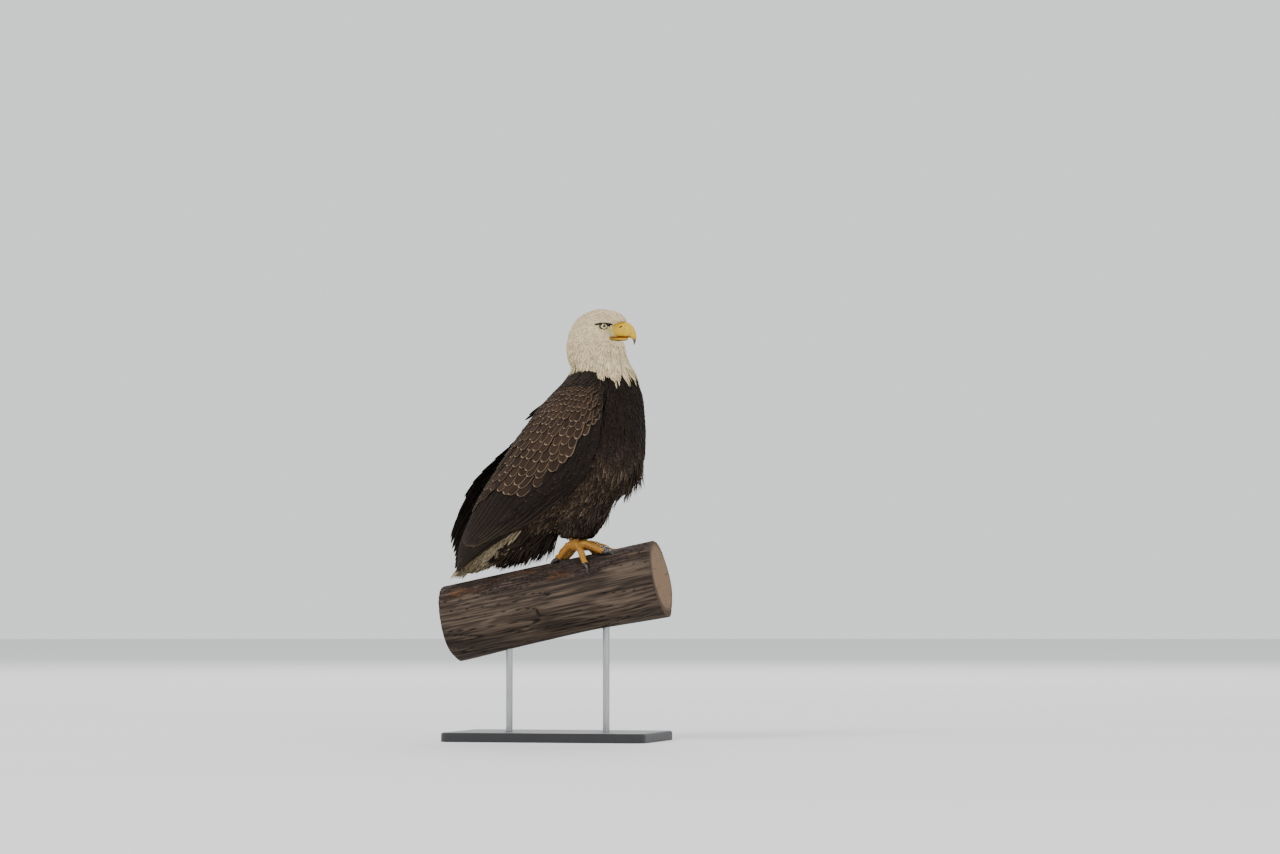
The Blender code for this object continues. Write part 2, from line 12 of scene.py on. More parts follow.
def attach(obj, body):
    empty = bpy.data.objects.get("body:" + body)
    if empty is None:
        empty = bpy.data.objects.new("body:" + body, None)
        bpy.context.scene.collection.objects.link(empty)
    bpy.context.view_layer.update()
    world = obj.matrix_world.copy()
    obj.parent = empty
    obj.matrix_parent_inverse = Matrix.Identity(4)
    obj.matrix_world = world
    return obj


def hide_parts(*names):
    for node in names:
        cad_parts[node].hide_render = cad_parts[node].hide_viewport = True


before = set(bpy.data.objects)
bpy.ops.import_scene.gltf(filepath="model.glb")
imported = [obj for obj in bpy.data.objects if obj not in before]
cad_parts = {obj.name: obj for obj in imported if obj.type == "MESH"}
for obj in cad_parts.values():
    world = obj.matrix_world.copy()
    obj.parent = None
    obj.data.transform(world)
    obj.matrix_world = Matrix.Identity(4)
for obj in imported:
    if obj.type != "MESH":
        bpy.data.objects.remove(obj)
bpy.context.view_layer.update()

bl_info = {
    "name": "Bald Eagle Model",
    "version": (1, 0, 0),
    "blender": (4, 5, 0),
    "location": "3D View > Sidebar > Eagle",
    "description": "Builds the visible skin, plumage, bill, feet, log and stage of a bald eagle",
    "category": "Add Mesh",
}

# --- Shape tables, in metres: back x, back z, front x, front z, half width of each flattened ring ---
HEAD = (
    (0.076, 1.032, 0.118, 1.029, 0.017),
    (0.054, 1.0255, 0.138, 1.0195, 0.03),
    (0.032, 1.013, 0.149, 1.008, 0.038),
    (0.0175, 0.996, 0.151, 0.993, 0.0428),
    (0.0085, 0.977, 0.149, 0.977, 0.044),
    (0.0035, 0.957, 0.146, 0.96, 0.049),
)
NECK = (
    (0.002, 0.94, 0.144, 0.944, 0.054),
    (0.003, 0.922, 0.15, 0.92, 0.058),
    (0.006, 0.904, 0.16, 0.896, 0.062),
    (0.0135, 0.8875, 0.172, 0.8715, 0.0655),
)
TRUNK = (
    (-0.008, 0.842, 0.19, 0.82, 0.088),
    (-0.048, 0.788, 0.198, 0.745, 0.105),
    (-0.098, 0.722, 0.194, 0.67, 0.112),
    (-0.14, 0.66, 0.17, 0.612, 0.11),
    (-0.174, 0.608, 0.116, 0.572, 0.101),
    (-0.2, 0.56, 0.054, 0.536, 0.087),
    (-0.212, 0.522, -0.01, 0.5, 0.072),
)
BODY = HEAD + NECK + TRUNK
WING_BED = (
    (0.018, 0.886, 0.17, 0.87, 0.064),
    (-0.008, 0.842, 0.19, 0.82, 0.088),
    (-0.048, 0.788, 0.198, 0.745, 0.105),
    (-0.1, 0.722, 0.194, 0.67, 0.112),
    (-0.146, 0.66, 0.17, 0.612, 0.11),
    (-0.186, 0.604, 0.116, 0.572, 0.101),
    (-0.218, 0.552, 0.054, 0.536, 0.089),
    (-0.24, 0.51, -0.01, 0.5, 0.077),
    (-0.255, 0.475, -0.082, 0.468, 0.069),
    (-0.264, 0.445, -0.14, 0.44, 0.063),
    (-0.268, 0.42, -0.19, 0.416, 0.058),
    (-0.27, 0.398, -0.225, 0.396, 0.053),
)
VENT = (
    (-0.196, 0.518, -0.011, 0.4984, 0.068),
    (-0.206, 0.485, -0.076, 0.468, 0.058),
    (-0.224, 0.458, -0.13, 0.444, 0.048),
    (-0.244, 0.43, -0.188, 0.419, 0.034),
    (-0.258, 0.411, -0.235, 0.403, 0.016),
)
CERE = (
    (0.1195, 0.999, 0.1092, 0.966, 0.0152),
    (0.13, 0.9998, 0.125, 0.9655, 0.0138),
    (0.14, 1.0002, 0.1395, 0.9652, 0.0126),
)
BILL_UPPER = (
    (0.1403, 1.0000, 0.1398, 0.9652, 0.0124),
    (0.153, 0.9978, 0.15, 0.9646, 0.0115),
    (0.163, 0.9908, 0.1572, 0.9632, 0.0098),
    (0.1692, 0.979, 0.1605, 0.9615, 0.0076),
    (0.1712, 0.967, 0.1628, 0.9585, 0.0053),
    (0.1698, 0.956, 0.1645, 0.9525, 0.0031),
    (0.1668, 0.9475, 0.165, 0.9468, 0.0012),
)
BILL_LOWER = (
    (0.1086, 0.964, 0.1072, 0.9568, 0.0135),
    (0.124, 0.9642, 0.125, 0.9558, 0.0118),
    (0.14, 0.964, 0.141, 0.9562, 0.0095),
    (0.152, 0.9632, 0.15, 0.958, 0.006),
)
MOUTH_CORNER = (
    (0.0905, 0.0238, 0.9605), (0.098, 0.0208, 0.9613), (0.107, 0.0166, 0.9632), (0.117, 0.014, 0.9648),
    (0.129, 0.0122, 0.9654),
)
# Cheek and lores, that narrow from the eyes to the foot of the bill.
FACE = (
    (0.08, 1.008, 0.08, 0.956, 0.033),
    (0.095, 1.007, 0.093, 0.956, 0.029),
    (0.108, 1.004, 0.103, 0.956, 0.0225),
    (0.12, 1.001, 0.113, 0.958, 0.016),
    (0.13, 0.9985, 0.124, 0.96, 0.0118),
)
BILL_EDGE = 0.9652
BILL_DEEP = 0.035
HEAD_TURN = math.radians(10.0)
HEAD_PIVOT = 0.07
HEAD_TURN_END = 9.0
HEAD_TURN_RUN = 3.0
HEAD_FRONT_TAPER = 0.32
EYE_PLACE = (0.0945, 0.029, 0.9892)
BROW_SHADE = ((0.078, 0.9945), (0.09, 0.9968), (0.104, 0.9958), (0.12, 0.9936))
EYE_RADIUS = 0.0115
ORBIT_RADIUS = 0.0137
LID_THICK = 0.0012
LID_SIDES = 64
LID_RINGS = 10
EYE_LOOK = math.radians(76.0)
BROW = (
    (0.07, 0.0345, 0.9975),
    (0.08, 0.0372, 1.0000),
    (0.092, 0.0378, 1.0008),
    (0.104, 0.033, 0.9996),
    (0.115, 0.0245, 0.9978),
    (0.124, 0.0165, 0.9962),
)

SKIN_VOXEL = 0.0031
SKIN_SMOOTHING = 5
WING_START = 0.46
WING_FRONT_LEAN = 0.95
WING_TOP_ANGLE = 9.0
WING_TIPS = (8.1, 8.5, 8.9, 9.25, 9.6, 10.00, 10.4, 10.8, 10.55)
WING_LOW_EDGE = ((0.46, 97), (1.5, 101), (3.0, 104), (4.6, 107), (6.2, 104), (8.5, 86), (11.0, 64))
WING_THICK = ((0.46, 0.01), (1.2, 0.017), (3.0, 0.018), (5.5, 0.012), (8.0, 0.007), (11.0, 0.004))
WING_CLEARANCE = 0.003
WING_LIFT = {"right": (0.0, 0.0, 0.0), "left": (-0.04, 0.016, 0.1)}
COVERT_ROWS = 16
# Where the wing coverts' rows and their lower border end along the bed, at shares from the back to the lower edge.
COVERT_SPAN = ((0.0, 4.7), (0.28, 5.08), (0.66, 5.18), (1.0, 5.1))
COVERT_END = ((0.0, 4.7), (0.28, 5.08), (0.66, 5.18), (0.74, 4.88), (0.815, 3.98), (0.86, 3.2), (0.95, 2.6), (1.0, 2.1))
STRAY_FEATHER = ((1.2, 0.01), (1.6, 0.026), (2.00, 0.04), (2.4, 0.048))
STRAY_ANGLE = 14.0

TAIL_ROOT = (-0.184, 0.0, 0.5245)
TAIL_TIP = (-0.286, 0.0, 0.39)
TAIL_FEATHERS = 12
TAIL_HALF_ROOT = 0.034
TAIL_HALF_TIP = 0.047
TAIL_ARCH = 0.015

LOG_RADIUS = 0.0925
LOG_SLOPE = math.radians(11.7)
LOG_HEIGHT = 0.338
LOG_BACK = -0.285
LOG_FRONT = 0.235
LOG_RINGS = 240
LOG_SIDES = 200

FEET = {"right": (0.031, -0.031), "left": (0.036, 0.031)}
FOOT_HEIGHT = 0.034
SHANK_SHOWN = 0.02
THIGH_TOP = (0.034, 0.05, 0.62)
THIGH_RADII = ((0.066, 0.048), (0.066, 0.0445), (0.058, 0.0395), (0.047, 0.034), (0.034, 0.0285))
TOES = (
    (172.0, 0.04, 0.01, 0.0078, 0.036),
    (22.0, 0.05, 0.0096, 0.0074, 0.032),
    (-10.0, 0.072, 0.0096, 0.007, 0.032),
    (-48.0, 0.048, 0.0092, 0.007, 0.028),
)
CLAW_BENDS = (0.0, 26.0, 12.0, -14.0, -42.0, -66.0, -80.0)

# The photographed view: degrees round and above the bird, and metres away, across and up.
CAMERA_AZIMUTH = 14.0
CAMERA_ELEVATION = -3.0
CAMERA_DISTANCE = 9.0
CAMERA_ACROSS = 0.1776
CAMERA_HEIGHT = 0.751
CAMERA_FRAME = 3.072
LIGHT_AIM = (0.0, 0.0, 0.7)


# --- Settings a user would change ---
def hex_setting(name, text, where):
    """Colour setting, as sRGB hex text."""
    return bpy.props.StringProperty(name=name, description="sRGB hex colour of " + where, default=text)


def length_setting(name, value, low, high, what):
    """Length setting between two limits."""
    return bpy.props.FloatProperty(name=name, description=what, default=value, min=low, max=high, unit="LENGTH")


class EagleCoat(bpy.types.PropertyGroup):
    """Depth and colours of the plumage."""

    coat_depth: length_setting("Coat depth", 0.007, 0.002, 0.015, "How far the skin lies below the body's feather tips")
    dark: hex_setting("Dark brown", "17100d", "the breast and flight feathers")
    brown: hex_setting("Wing brown", "3a291e", "the wing coverts")
    fringe: hex_setting("Pale fringe", "927d66", "the edges of the coverts")
    white: hex_setting("White", "ead6ae", "the head and tail")
    seed: bpy.props.IntProperty(name="Seed", description="Seed of the small unevenness of the coat", default=7)


class EagleBare(bpy.types.PropertyGroup):
    """Sizes and colours of the bare parts."""

    bill: hex_setting("Bill yellow", "cfa91f", "the bill")
    foot: hex_setting("Foot yellow", "9c6d20", "the feet")
    iris: hex_setting("Iris", "d6c98f", "the iris")
    pupil: length_setting("Pupil radius", 0.0033, 0.001, 0.006, "Radius of the pupil")
    scute_gap: length_setting("Scute spacing", 0.0042, 0.002, 0.01, "Distance between the horny plates along a toe")


class EaglePerch(bpy.types.PropertyGroup):
    """Log and stand."""

    ridge: length_setting("Bark relief", 0.0032, 0.0, 0.008, "Height of the ridges of the old bark")
    bark: hex_setting("Bark", "3a2e27", "the bark")
    wood: hex_setting("Bare wood", "5a4c40", "the weathered wood")


# --- Geometry helpers ---
def rows_at(table, place):
    """Smooth rows of numbers at places along an evenly spaced table."""
    rows = np.asarray(table, float)
    last = len(rows) - 1
    place = np.clip(place, 0.0, last)
    step = np.minimum(place.astype(int), last - 1)
    part = (place - step)[..., None]
    a = rows[np.maximum(step - 1, 0)]
    b = rows[step]
    c = rows[step + 1]
    d = rows[np.minimum(step + 2, last)]
    return b + 0.5 * part * (c - a + part * (2 * a - 5 * b + 4 * c - d + part * (3 * (b - c) + d - a)))


def between(pairs, place):
    """Straight-line values at places along (place, value) pairs."""
    table = np.asarray(pairs, float)
    return np.interp(place, table[:, 0], table[:, 1])


def smooth(low, high, value):
    """Gentle step from 0 at low to 1 at high."""
    share = np.clip((value - low) / (high - low), 0.0, 1.0)
    return share * share * (3.0 - 2.0 * share)


def turns(count):
    """Even angles all the way round."""
    return np.arange(count) * math.tau / count


def from_back(angle):
    """Angle from the middle of the back, the same to the left and the right."""
    return np.abs((np.asarray(angle) + math.pi) % math.tau - math.pi)


def unit(vectors):
    """Vectors at length one."""
    return vectors / np.maximum(np.linalg.norm(vectors, axis=-1, keepdims=True), 1e-9)


def ring_points(rows, angle, grow, taper=0.0):
    """Points of flattened rings: angle 0 is the back, half a turn is the front."""
    run = (rows[..., 0:2] - rows[..., 2:4]) / 2
    middle = (rows[..., 0:2] + rows[..., 2:4]) / 2
    length = np.linalg.norm(run, axis=-1)
    narrow = 1.0 - taper * (0.5 - 0.5 * np.cos(angle)) ** 2
    flat = middle + run * ((1.0 + grow / length) * np.cos(angle))[..., None]
    wide = (rows[..., 4] + grow) * narrow * np.sin(angle)
    return np.stack([flat[..., 0], wide, flat[..., 1]], -1)


def spun(points, turn):
    """Points turned about the upright line that the head turns on."""
    points = np.asarray(points, float)
    c, s = math.cos(turn), math.sin(turn)
    x = points[..., 0] - HEAD_PIVOT
    y = points[..., 1]
    return np.stack([HEAD_PIVOT + c * x - s * y, s * x + c * y, points[..., 2]], -1)


def turned(points, share=1.0):
    """Points of the head once it looks a little to the bird's left."""
    points = np.asarray(points, float)
    return points + (spun(points, HEAD_TURN) - points) * np.asarray(share)[..., None]


def head_frame(points):
    """Points in the head's own frame, before it is turned."""
    return spun(points, -HEAD_TURN)


def head_gap(local, x, z):
    """Distance from a place on the side of the head, in the head's own frame."""
    return np.hypot(local[:, 0] - x, (local[:, 2] - z) * 1.1)


def head_share(place):
    """How much of the head's turn a place along the body takes part in."""
    return np.clip((HEAD_TURN_END - place) / HEAD_TURN_RUN, 0.0, 1.0)


def body_points(place, angle, grow=0.0):
    """Points of head, neck and trunk: place runs from the crown to the vent."""
    place = np.asarray(place, float)
    share = head_share(place)
    points = ring_points(rows_at(BODY, place), np.asarray(angle, float), grow, HEAD_FRONT_TAPER * share)
    return turned(points, share)


def wing_points(place, angle, grow, side):
    """Points over a wing's bed, with the angle in radians."""
    place = np.asarray(place, float)
    lift = WING_LIFT[side]
    sign = 1.0 if side == "left" else -1.0
    points = ring_points(rows_at(WING_BED, place), angle, grow)
    raised = smooth(1.8, 5.2, place) - 0.035 * np.maximum(place - 5.5, 0.0)
    return np.stack(
        [
            points[..., 0] + lift[0] * raised,
            points[..., 1] * sign * (1.0 + lift[2] * raised),
            points[..., 2] + lift[1] * raised,
        ],
        -1,
    )


def wing_angle(place, share):
    """Angle round the bed at a share of the way from the wing's upper to its lower edge."""
    low = between(WING_LOW_EDGE, place)
    return np.radians(WING_TOP_ANGLE + (low - WING_TOP_ANGLE) * share)


def wing_front(share):
    """Place along the bed where the wing starts."""
    return WING_START + WING_FRONT_LEAN * (share - 0.8) ** 2 + 32.0 * np.maximum(share - 0.76, 0.0) ** 3


def thigh_points(side, share, angle, grow=0.0):
    """Points of a feathered thigh, share 0 at its top and 1 at the ankle."""
    foot_x, foot_y = FEET[side]
    ankle = ankle_of(side)
    top = np.array((THIGH_TOP[0] + foot_x - 0.037, math.copysign(THIGH_TOP[1], foot_y), THIGH_TOP[2]))
    share = np.asarray(share, float)
    centre = top + (ankle - top) * share[..., None]
    bow = 0.012 * np.sin(np.pi * share)
    radii = rows_at(THIGH_RADII, share * (len(THIGH_RADII) - 1))
    return centre + np.stack(
        [
            bow + (radii[..., 0] + grow) * np.cos(angle),
            (radii[..., 1] + grow) * np.sin(angle),
            np.zeros_like(share),
        ],
        -1,
    )


def log_axis(x):
    """Height of the log's centre."""
    return LOG_HEIGHT + math.tan(LOG_SLOPE) * x


def log_top(x, y):
    """Height of the top of the plain round log."""
    return log_axis(x) + math.sqrt(max(LOG_RADIUS**2 - y * y, 0.0)) / math.cos(LOG_SLOPE)


def pad_of(side):
    """Middle of the foot, where the toes meet."""
    x, y = FEET[side]
    return np.array((x, y, log_top(x, y) + FOOT_HEIGHT))


def ankle_of(side):
    """Where the bare shank leaves the thigh feathers."""
    return pad_of(side) + np.array((-0.006, 0.0, SHANK_SHOWN))


def toe_path(side, turn, sizes, steps):
    """Centres and radii of one toe, from the pad to where its claw starts."""
    length, root, tip = sizes
    pad = pad_of(side)
    heading = math.radians(turn * -math.copysign(1.0, pad[1]))
    forward = np.array((math.cos(heading), math.sin(heading), 0.0))
    end = pad + forward * (0.004 + length)
    landing = log_top(end[0], end[1]) + tip
    points = []
    radii = []
    for step in range(steps + 1):
        share = step / steps
        flat = pad + forward * (0.004 + length * share)
        radius = (root + (tip - root) * share) * (1.0 + 0.09 * math.cos(share * math.tau * 3.0))
        fall = share**1.35
        arch = 0.005 * math.sin(math.pi * min(share * 1.25, 1.0))
        height = max(log_top(flat[0], flat[1]) + radius, (pad[2] - 0.002) * (1.0 - fall) + landing * fall + arch)
        points.append((flat[0], flat[1], height))
        radii.append(radius)
    return np.array(points), np.array(radii)


def tube_rings(path, radii, sides, flat=1.0):
    """Rings of a tapered limb along a path, a little flattened from above if asked."""
    path = np.asarray(path, float)
    ahead = unit(np.gradient(path, axis=0))
    across = unit(np.cross(ahead, (0.0, 0.0, 1.0)) + np.array((0.0, 1e-6, 0.0)))
    upward = np.cross(across, ahead)
    angle = turns(sides)
    radii = np.broadcast_to(np.asarray(radii, float), (len(path),))[:, None, None]
    turn = across[:, None] * np.cos(angle)[None, :, None] + upward[:, None] * np.sin(angle)[None, :, None] * flat
    return path[:, None] + turn * radii


def linked(name, data):
    """New object in the scene."""
    obj = bpy.data.objects.new(name, data)
    bpy.context.scene.collection.objects.link(obj)
    return obj


def linked_bm(name, bm):
    """New object from an edit mesh, which is used up."""
    mesh = bpy.data.meshes.new(name)
    bm.to_mesh(mesh)
    bm.free()
    return linked(name, mesh)


def painted(mesh, name, *channels):
    """Colour attribute from up to four channels, one value a point."""
    full = np.zeros((len(mesh.vertices), 4), np.float32)
    for index, values in enumerate(channels):
        full[:, index] = values
    mesh.color_attributes.new(name=name, type="FLOAT_COLOR", domain="POINT").data.foreach_set("color", full.ravel())


def smooth_shaded(mesh):
    """Shade a mesh without facets."""
    mesh.polygons.foreach_set("use_smooth", np.ones(len(mesh.polygons), bool))


def grid_mesh(name, rings):
    """Closed object through rings of equal count, with a map round (u) and along (v) it."""
    rings = np.asarray(rings, float)
    rows, count, _ = rings.shape
    verts = rings.reshape(-1, 3)
    i, k = np.meshgrid(np.arange(rows - 1), np.arange(count), indexing="ij")
    after = (k + 1) % count
    quads = np.stack([i * count + k, i * count + after, (i + 1) * count + after, (i + 1) * count + k], -1)
    faces = quads.reshape(-1, 4).tolist()
    around = np.stack([k / count, (k + 1) / count, (k + 1) / count, k / count], -1).reshape(-1, 4)
    along = np.stack([i, i, i + 1, i + 1], -1).reshape(-1, 4) / (rows - 1)
    uv = np.stack([around, along], -1).reshape(-1, 2).tolist()
    for row in (0, rows - 1):
        tip = len(verts)
        verts = np.vstack([verts, rings[row].mean(axis=0)])
        level = 1.0 if row else 0.0
        for j in range(count):
            faces.append([row * count + (j + 1) % count, row * count + j, tip])
            uv += [((j + 1) / count, level), (j / count, level), ((j + 0.5) / count, level * 1.02 - 0.01)]
    mesh = bpy.data.meshes.new(name)
    mesh.from_pydata(verts.tolist(), [], faces)
    layer = mesh.uv_layers.new(name="round")
    layer.data.foreach_set("uv", np.array(uv, np.float32).ravel())
    smooth_shaded(mesh)
    bm = bmesh.new()
    bm.from_mesh(mesh)
    bmesh.ops.recalc_face_normals(bm, faces=bm.faces[:])
    bm.to_mesh(mesh)
    bm.free()
    return linked(name, mesh)


def finished(obj, material, slot, *nodes):
    """Give a piece its material, let it ride on the model and stand for its solids."""
    if material:
        obj.data.materials.clear()
        obj.data.materials.append(material)
    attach(obj, "root")
    if nodes:
        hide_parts(*nodes)
    return obj


def remove(obj):
    """Take a helper out of the scene."""
    bpy.data.objects.remove(obj, do_unlink=True)


def merged_copy(node):
    """Copy of a solid with its loose triangles merged."""
    bm = bmesh.new()
    bm.from_mesh(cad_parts[node].data)
    bmesh.ops.remove_doubles(bm, verts=bm.verts[:], dist=0.00002)
    return linked_bm(node + "_copy", bm)


def evaluated_mesh(obj):
    """New mesh of an object with its modifiers put on; they are then taken off."""
    bpy.context.view_layer.update()
    graph = bpy.context.evaluated_depsgraph_get()
    mesh = bpy.data.meshes.new_from_object(obj.evaluated_get(graph))
    obj.modifiers.clear()
    return mesh


def applied(obj, **modifiers):
    """Put modifiers on an object and turn the result into its plain mesh."""
    for kind, settings in modifiers.items():
        modifier = obj.modifiers.new(kind, kind)
        for key, value in settings.items():
            setattr(modifier, key, value)
    obj.data = evaluated_mesh(obj)


def vertices_of(mesh):
    """All vertex positions as an array."""
    found = np.empty(len(mesh.vertices) * 3, np.float32)
    mesh.vertices.foreach_get("co", found)
    return found.reshape(-1, 3).astype(float)


def set_vertices(mesh, points):
    """Write vertex positions back."""
    mesh.vertices.foreach_set("co", np.ascontiguousarray(points, np.float32).ravel())
    mesh.update()


def waves(points, scale, seed):
    """Cheap smooth unevenness between -1 and 1, from a few crossed waves."""
    rng = np.random.default_rng(seed)
    total = np.zeros(points.shape[:-1])
    for _ in range(7):
        direction = unit(rng.normal(size=3))
        total += np.sin(points @ direction * math.tau / scale * rng.uniform(0.6, 1.7) + rng.uniform(0, math.tau))
    return total / 4.0


# --- Feathers as thin closed blades ---
# Cross-sections: place from left to right edge, height in thicknesses, and how far the edge droops.
SLIM = ((-1.0, 0.0, 1.0), (0.0, 1.0, 0.0), (1.0, 0.0, 1.0))
BROAD = ((-1.0, 0.0, 1.0), (-0.5, 0.7, 0.25), (0.0, 1.1, 0.0), (0.5, 0.7, 0.25), (1.0, 0.0, 1.0), (0.0, -0.6, 0.0))
# Outlines: share of the length, share of the half width.
LANCE = ((0.0, 0.42), (0.18, 0.8), (0.42, 1.0), (0.68, 0.84), (0.88, 0.42), (1.0, 0.05))
SOFT = ((0.0, 0.45), (0.25, 0.85), (0.5, 1.0), (0.74, 0.84), (0.9, 0.48), (1.0, 0.06))
TINY = ((0.0, 0.6), (0.4, 1.0), (0.78, 0.66), (1.0, 0.06))
SCALE = ((0.0, 0.5), (0.25, 0.85), (0.5, 0.98), (0.72, 1.0), (0.87, 0.86), (0.96, 0.52), (1.0, 0.14))
QUILL = (
    (0.0, 0.4), (0.12, 0.8), (0.28, 0.97), (0.45, 1.0), (0.62, 0.98), (0.76, 0.9), (0.87, 0.72), (0.95, 0.42),
    (1.0, 0.08),
)


# Metres to one unit of the map "vane", across and along a feather.
VANE_ACROSS = 0.01
VANE_ALONG = 0.04
# Points round a ring along which roots are spread, and roots compared at once when tufts form.
RING_STEPS = 145
TUFT_BATCH = 1500


class Blades:
    """Collects feathers of one piece, each a closed thin tube of a few stations."""

    def __init__(self):
        self.points = []
        self.faces = []
        self.flat = []
        self.vane = []
        self.patch = []
        self.coat = []
        self.count = 0

    def add(self, spines, ups, halves, outline, section, coat, root_uv, patch=0.003, thick=0.0004, droop=0.22):
        """Feathers from their middle lines: n spines of as many points as the outline has rows."""
        shape = np.asarray(outline, float)
        across_at, height, fall = (np.array(column, float) for column in zip(*section))
        n, k, _ = spines.shape
        c = len(across_at)
        ahead = unit(np.gradient(spines, axis=1))
        across = unit(np.cross(ups, ahead))
        up = np.cross(ahead, across)
        wide = halves[:, None] * shape[None, :, 1]
        side_step = across[:, :, None] * (wide[:, :, None] * across_at)[..., None]
        rise = height * thick * (0.4 + 0.6 * np.minimum(wide / halves[:, None], 1.0))[:, :, None]
        rise = rise - fall * droop * wide[:, :, None]
        ring = spines[:, :, None] + side_step + up[:, :, None] * rise[..., None]
        ids = (self.count + np.arange(n * k * c)).reshape(n, k, c)
        after = np.roll(ids, -1, axis=2)
        quads = np.stack([ids[:, :-1], ids[:, 1:], after[:, 1:], after[:, :-1]], -1)
        below = np.zeros((n, k - 1, c), bool)
        below[:, :, c - 1] = True
        if c > 3:
            below[:, :, c - 2] = True
        self.faces.append(quads.reshape(-1, 4))
        self.flat.append(below.ravel())
        for end, order in ((ids[:, 0], 1), (ids[:, -1], -1)):
            for j in range(1, c - 1):
                corner = np.stack([end[:, 0], end[:, j], end[:, j + 1], end[:, j + 1]], -1)
                if order < 0:
                    corner = corner[:, [0, 2, 1, 1]]
                self.faces.append(corner)
                self.flat.append(np.ones(n, bool))
        self.points.append(ring.reshape(-1, 3))
        # Map "vane": distance from the nearest edge, and from the tip counted back from 1.
        length = np.linalg.norm(np.diff(spines, axis=1), axis=2).sum(axis=1)
        inward = wide[:, :, None] * (1.0 - np.abs(across_at)) / VANE_ACROSS
        back = 1.0 - (1.0 - shape[None, :, 0]) * length[:, None] / VANE_ALONG
        self.vane.append(np.stack([inward, np.broadcast_to(back[..., None], (n, k, c))], -1).reshape(-1, 2))
        u = np.broadcast_to((across_at + 1.0) / 2.0, (n, k, c))
        v = np.broadcast_to(shape[None, :, 0, None], (n, k, c))
        shift = np.stack([u - 0.5, v * 0.9 + 0.1 * height - 0.5], -1)
        self.patch.append((root_uv[:, None, None, :] + shift * patch).reshape(-1, 2))
        coat = np.asarray(coat, float)
        level = 0.66 + 0.6 * coat[:, 1]
        # Painted shade: each feather is darker towards its root, where the feathers over it shade it, and white ones
        # less so; the shaft is a tenth darker.
        root = 0.6 + 0.22 * coat[:, 0]
        shade = root[:, None] + (1.0 - root)[:, None] * smooth(0.0, 0.6, shape[:, 0])
        shade = level[:, None, None] * shade[..., None] * (1.0 - 0.1 * (across_at == 0.0))
        full = np.broadcast_to(coat[:, None, None, :], (n, k, c, 4)).copy()
        full[..., 1] = shade
        self.coat.append(full.reshape(-1, 4))
        self.count += n * k * c

    def build(self, name):
        """One object of all the feathers."""
        points = np.concatenate(self.points)
        quads = np.concatenate(self.faces)
        flat = np.concatenate(self.flat)
        is_tri = quads[:, 2] == quads[:, 3]
        totals = np.where(is_tri, 3, 4)
        keep = np.ones(quads.shape, bool)
        keep[is_tri, 3] = False
        loops = quads[keep]
        starts = np.concatenate([[0], np.cumsum(totals)[:-1]])
        mesh = bpy.data.meshes.new(name)
        mesh.vertices.add(len(points))
        mesh.vertices.foreach_set("co", points.astype(np.float32).ravel())
        mesh.loops.add(len(loops))
        mesh.loops.foreach_set("vertex_index", loops.astype(np.int32))
        mesh.polygons.add(len(totals))
        mesh.polygons.foreach_set("loop_start", starts.astype(np.int32))
        mesh.polygons.foreach_set("use_smooth", ~flat)
        for layer_name, values in (("vane", self.vane), ("OFBake", self.patch)):
            layer = mesh.uv_layers.new(name=layer_name)
            layer.data.foreach_set("uv", np.concatenate(values)[loops].astype(np.float32).ravel())
        painted(mesh, "coat", *np.concatenate(self.coat).T)
        mesh.update(calc_edges=True)
        mesh.validate()
        return linked(name, mesh)


def settle(tree, points):
    """Nearest points of the skin and its outward directions there."""
    found = np.empty((len(points), 3))
    normals = np.empty((len(points), 3))
    for index, point in enumerate(points):
        place, normal, _, _ = tree.find_nearest(Vector(point))
        found[index] = place
        normals[index] = normal
    return found, normals


def walk(tree, roots, ahead, lengths, outline, lift, curl=1.4):
    """Middle lines of feathers that start at the roots and lie along the skin."""
    shares = np.asarray(outline, float)[:, 0]
    here, up = settle(tree, roots)
    spines = np.empty((len(roots), len(shares), 3))
    ups = np.empty_like(spines)
    low, high = (np.broadcast_to(np.asarray(value, float), lengths.shape) for value in lift)
    previous = 0.0
    for k, share in enumerate(shares):
        step = lengths * (share - previous)
        previous = share
        if k:
            flat = unit(ahead - up * np.sum(ahead * up, axis=1, keepdims=True))
            here, fresh = settle(tree, here + flat * step[:, None])
            up = unit(up * 0.35 + fresh * 0.65)
        spines[:, k] = here + up * (low + (high - low) * share**curl)[:, None]
        ups[:, k] = up
    return spines, ups


def quincunx(point_of, start, end, gaps, rng):
    """Places and angles of feather roots in staggered rows, a wanted gap apart."""
    places = []
    angles = []
    ring_angle = np.linspace(0.0, math.tau, RING_STEPS)
    place = start
    row = 0
    while place < end:
        ring = point_of(np.full(RING_STEPS, place), ring_angle)
        before = point_of(np.full(RING_STEPS, place - 0.02), ring_angle)
        ahead = max(np.linalg.norm(ring - before, axis=1).mean() / 0.02, 0.004)
        total = np.concatenate([[0.0], np.cumsum(np.linalg.norm(np.diff(ring, axis=0), axis=1))])
        gap = between(gaps, place)
        count = max(int(total[-1] / gap), 3)
        at = (np.arange(count) + 0.5 * (row % 2) + rng.uniform(-0.3, 0.3, count)) / count * total[-1]
        angles.append(np.interp(at % total[-1], total, ring_angle))
        jitter = np.clip(rng.uniform(-0.35, 0.35, count) * gap / ahead, -0.5, 0.5)
        places.append(np.clip(place + jitter, start, end))
        place += gap * 0.86 / ahead
        row += 1
    return np.concatenate(places), np.concatenate(angles)


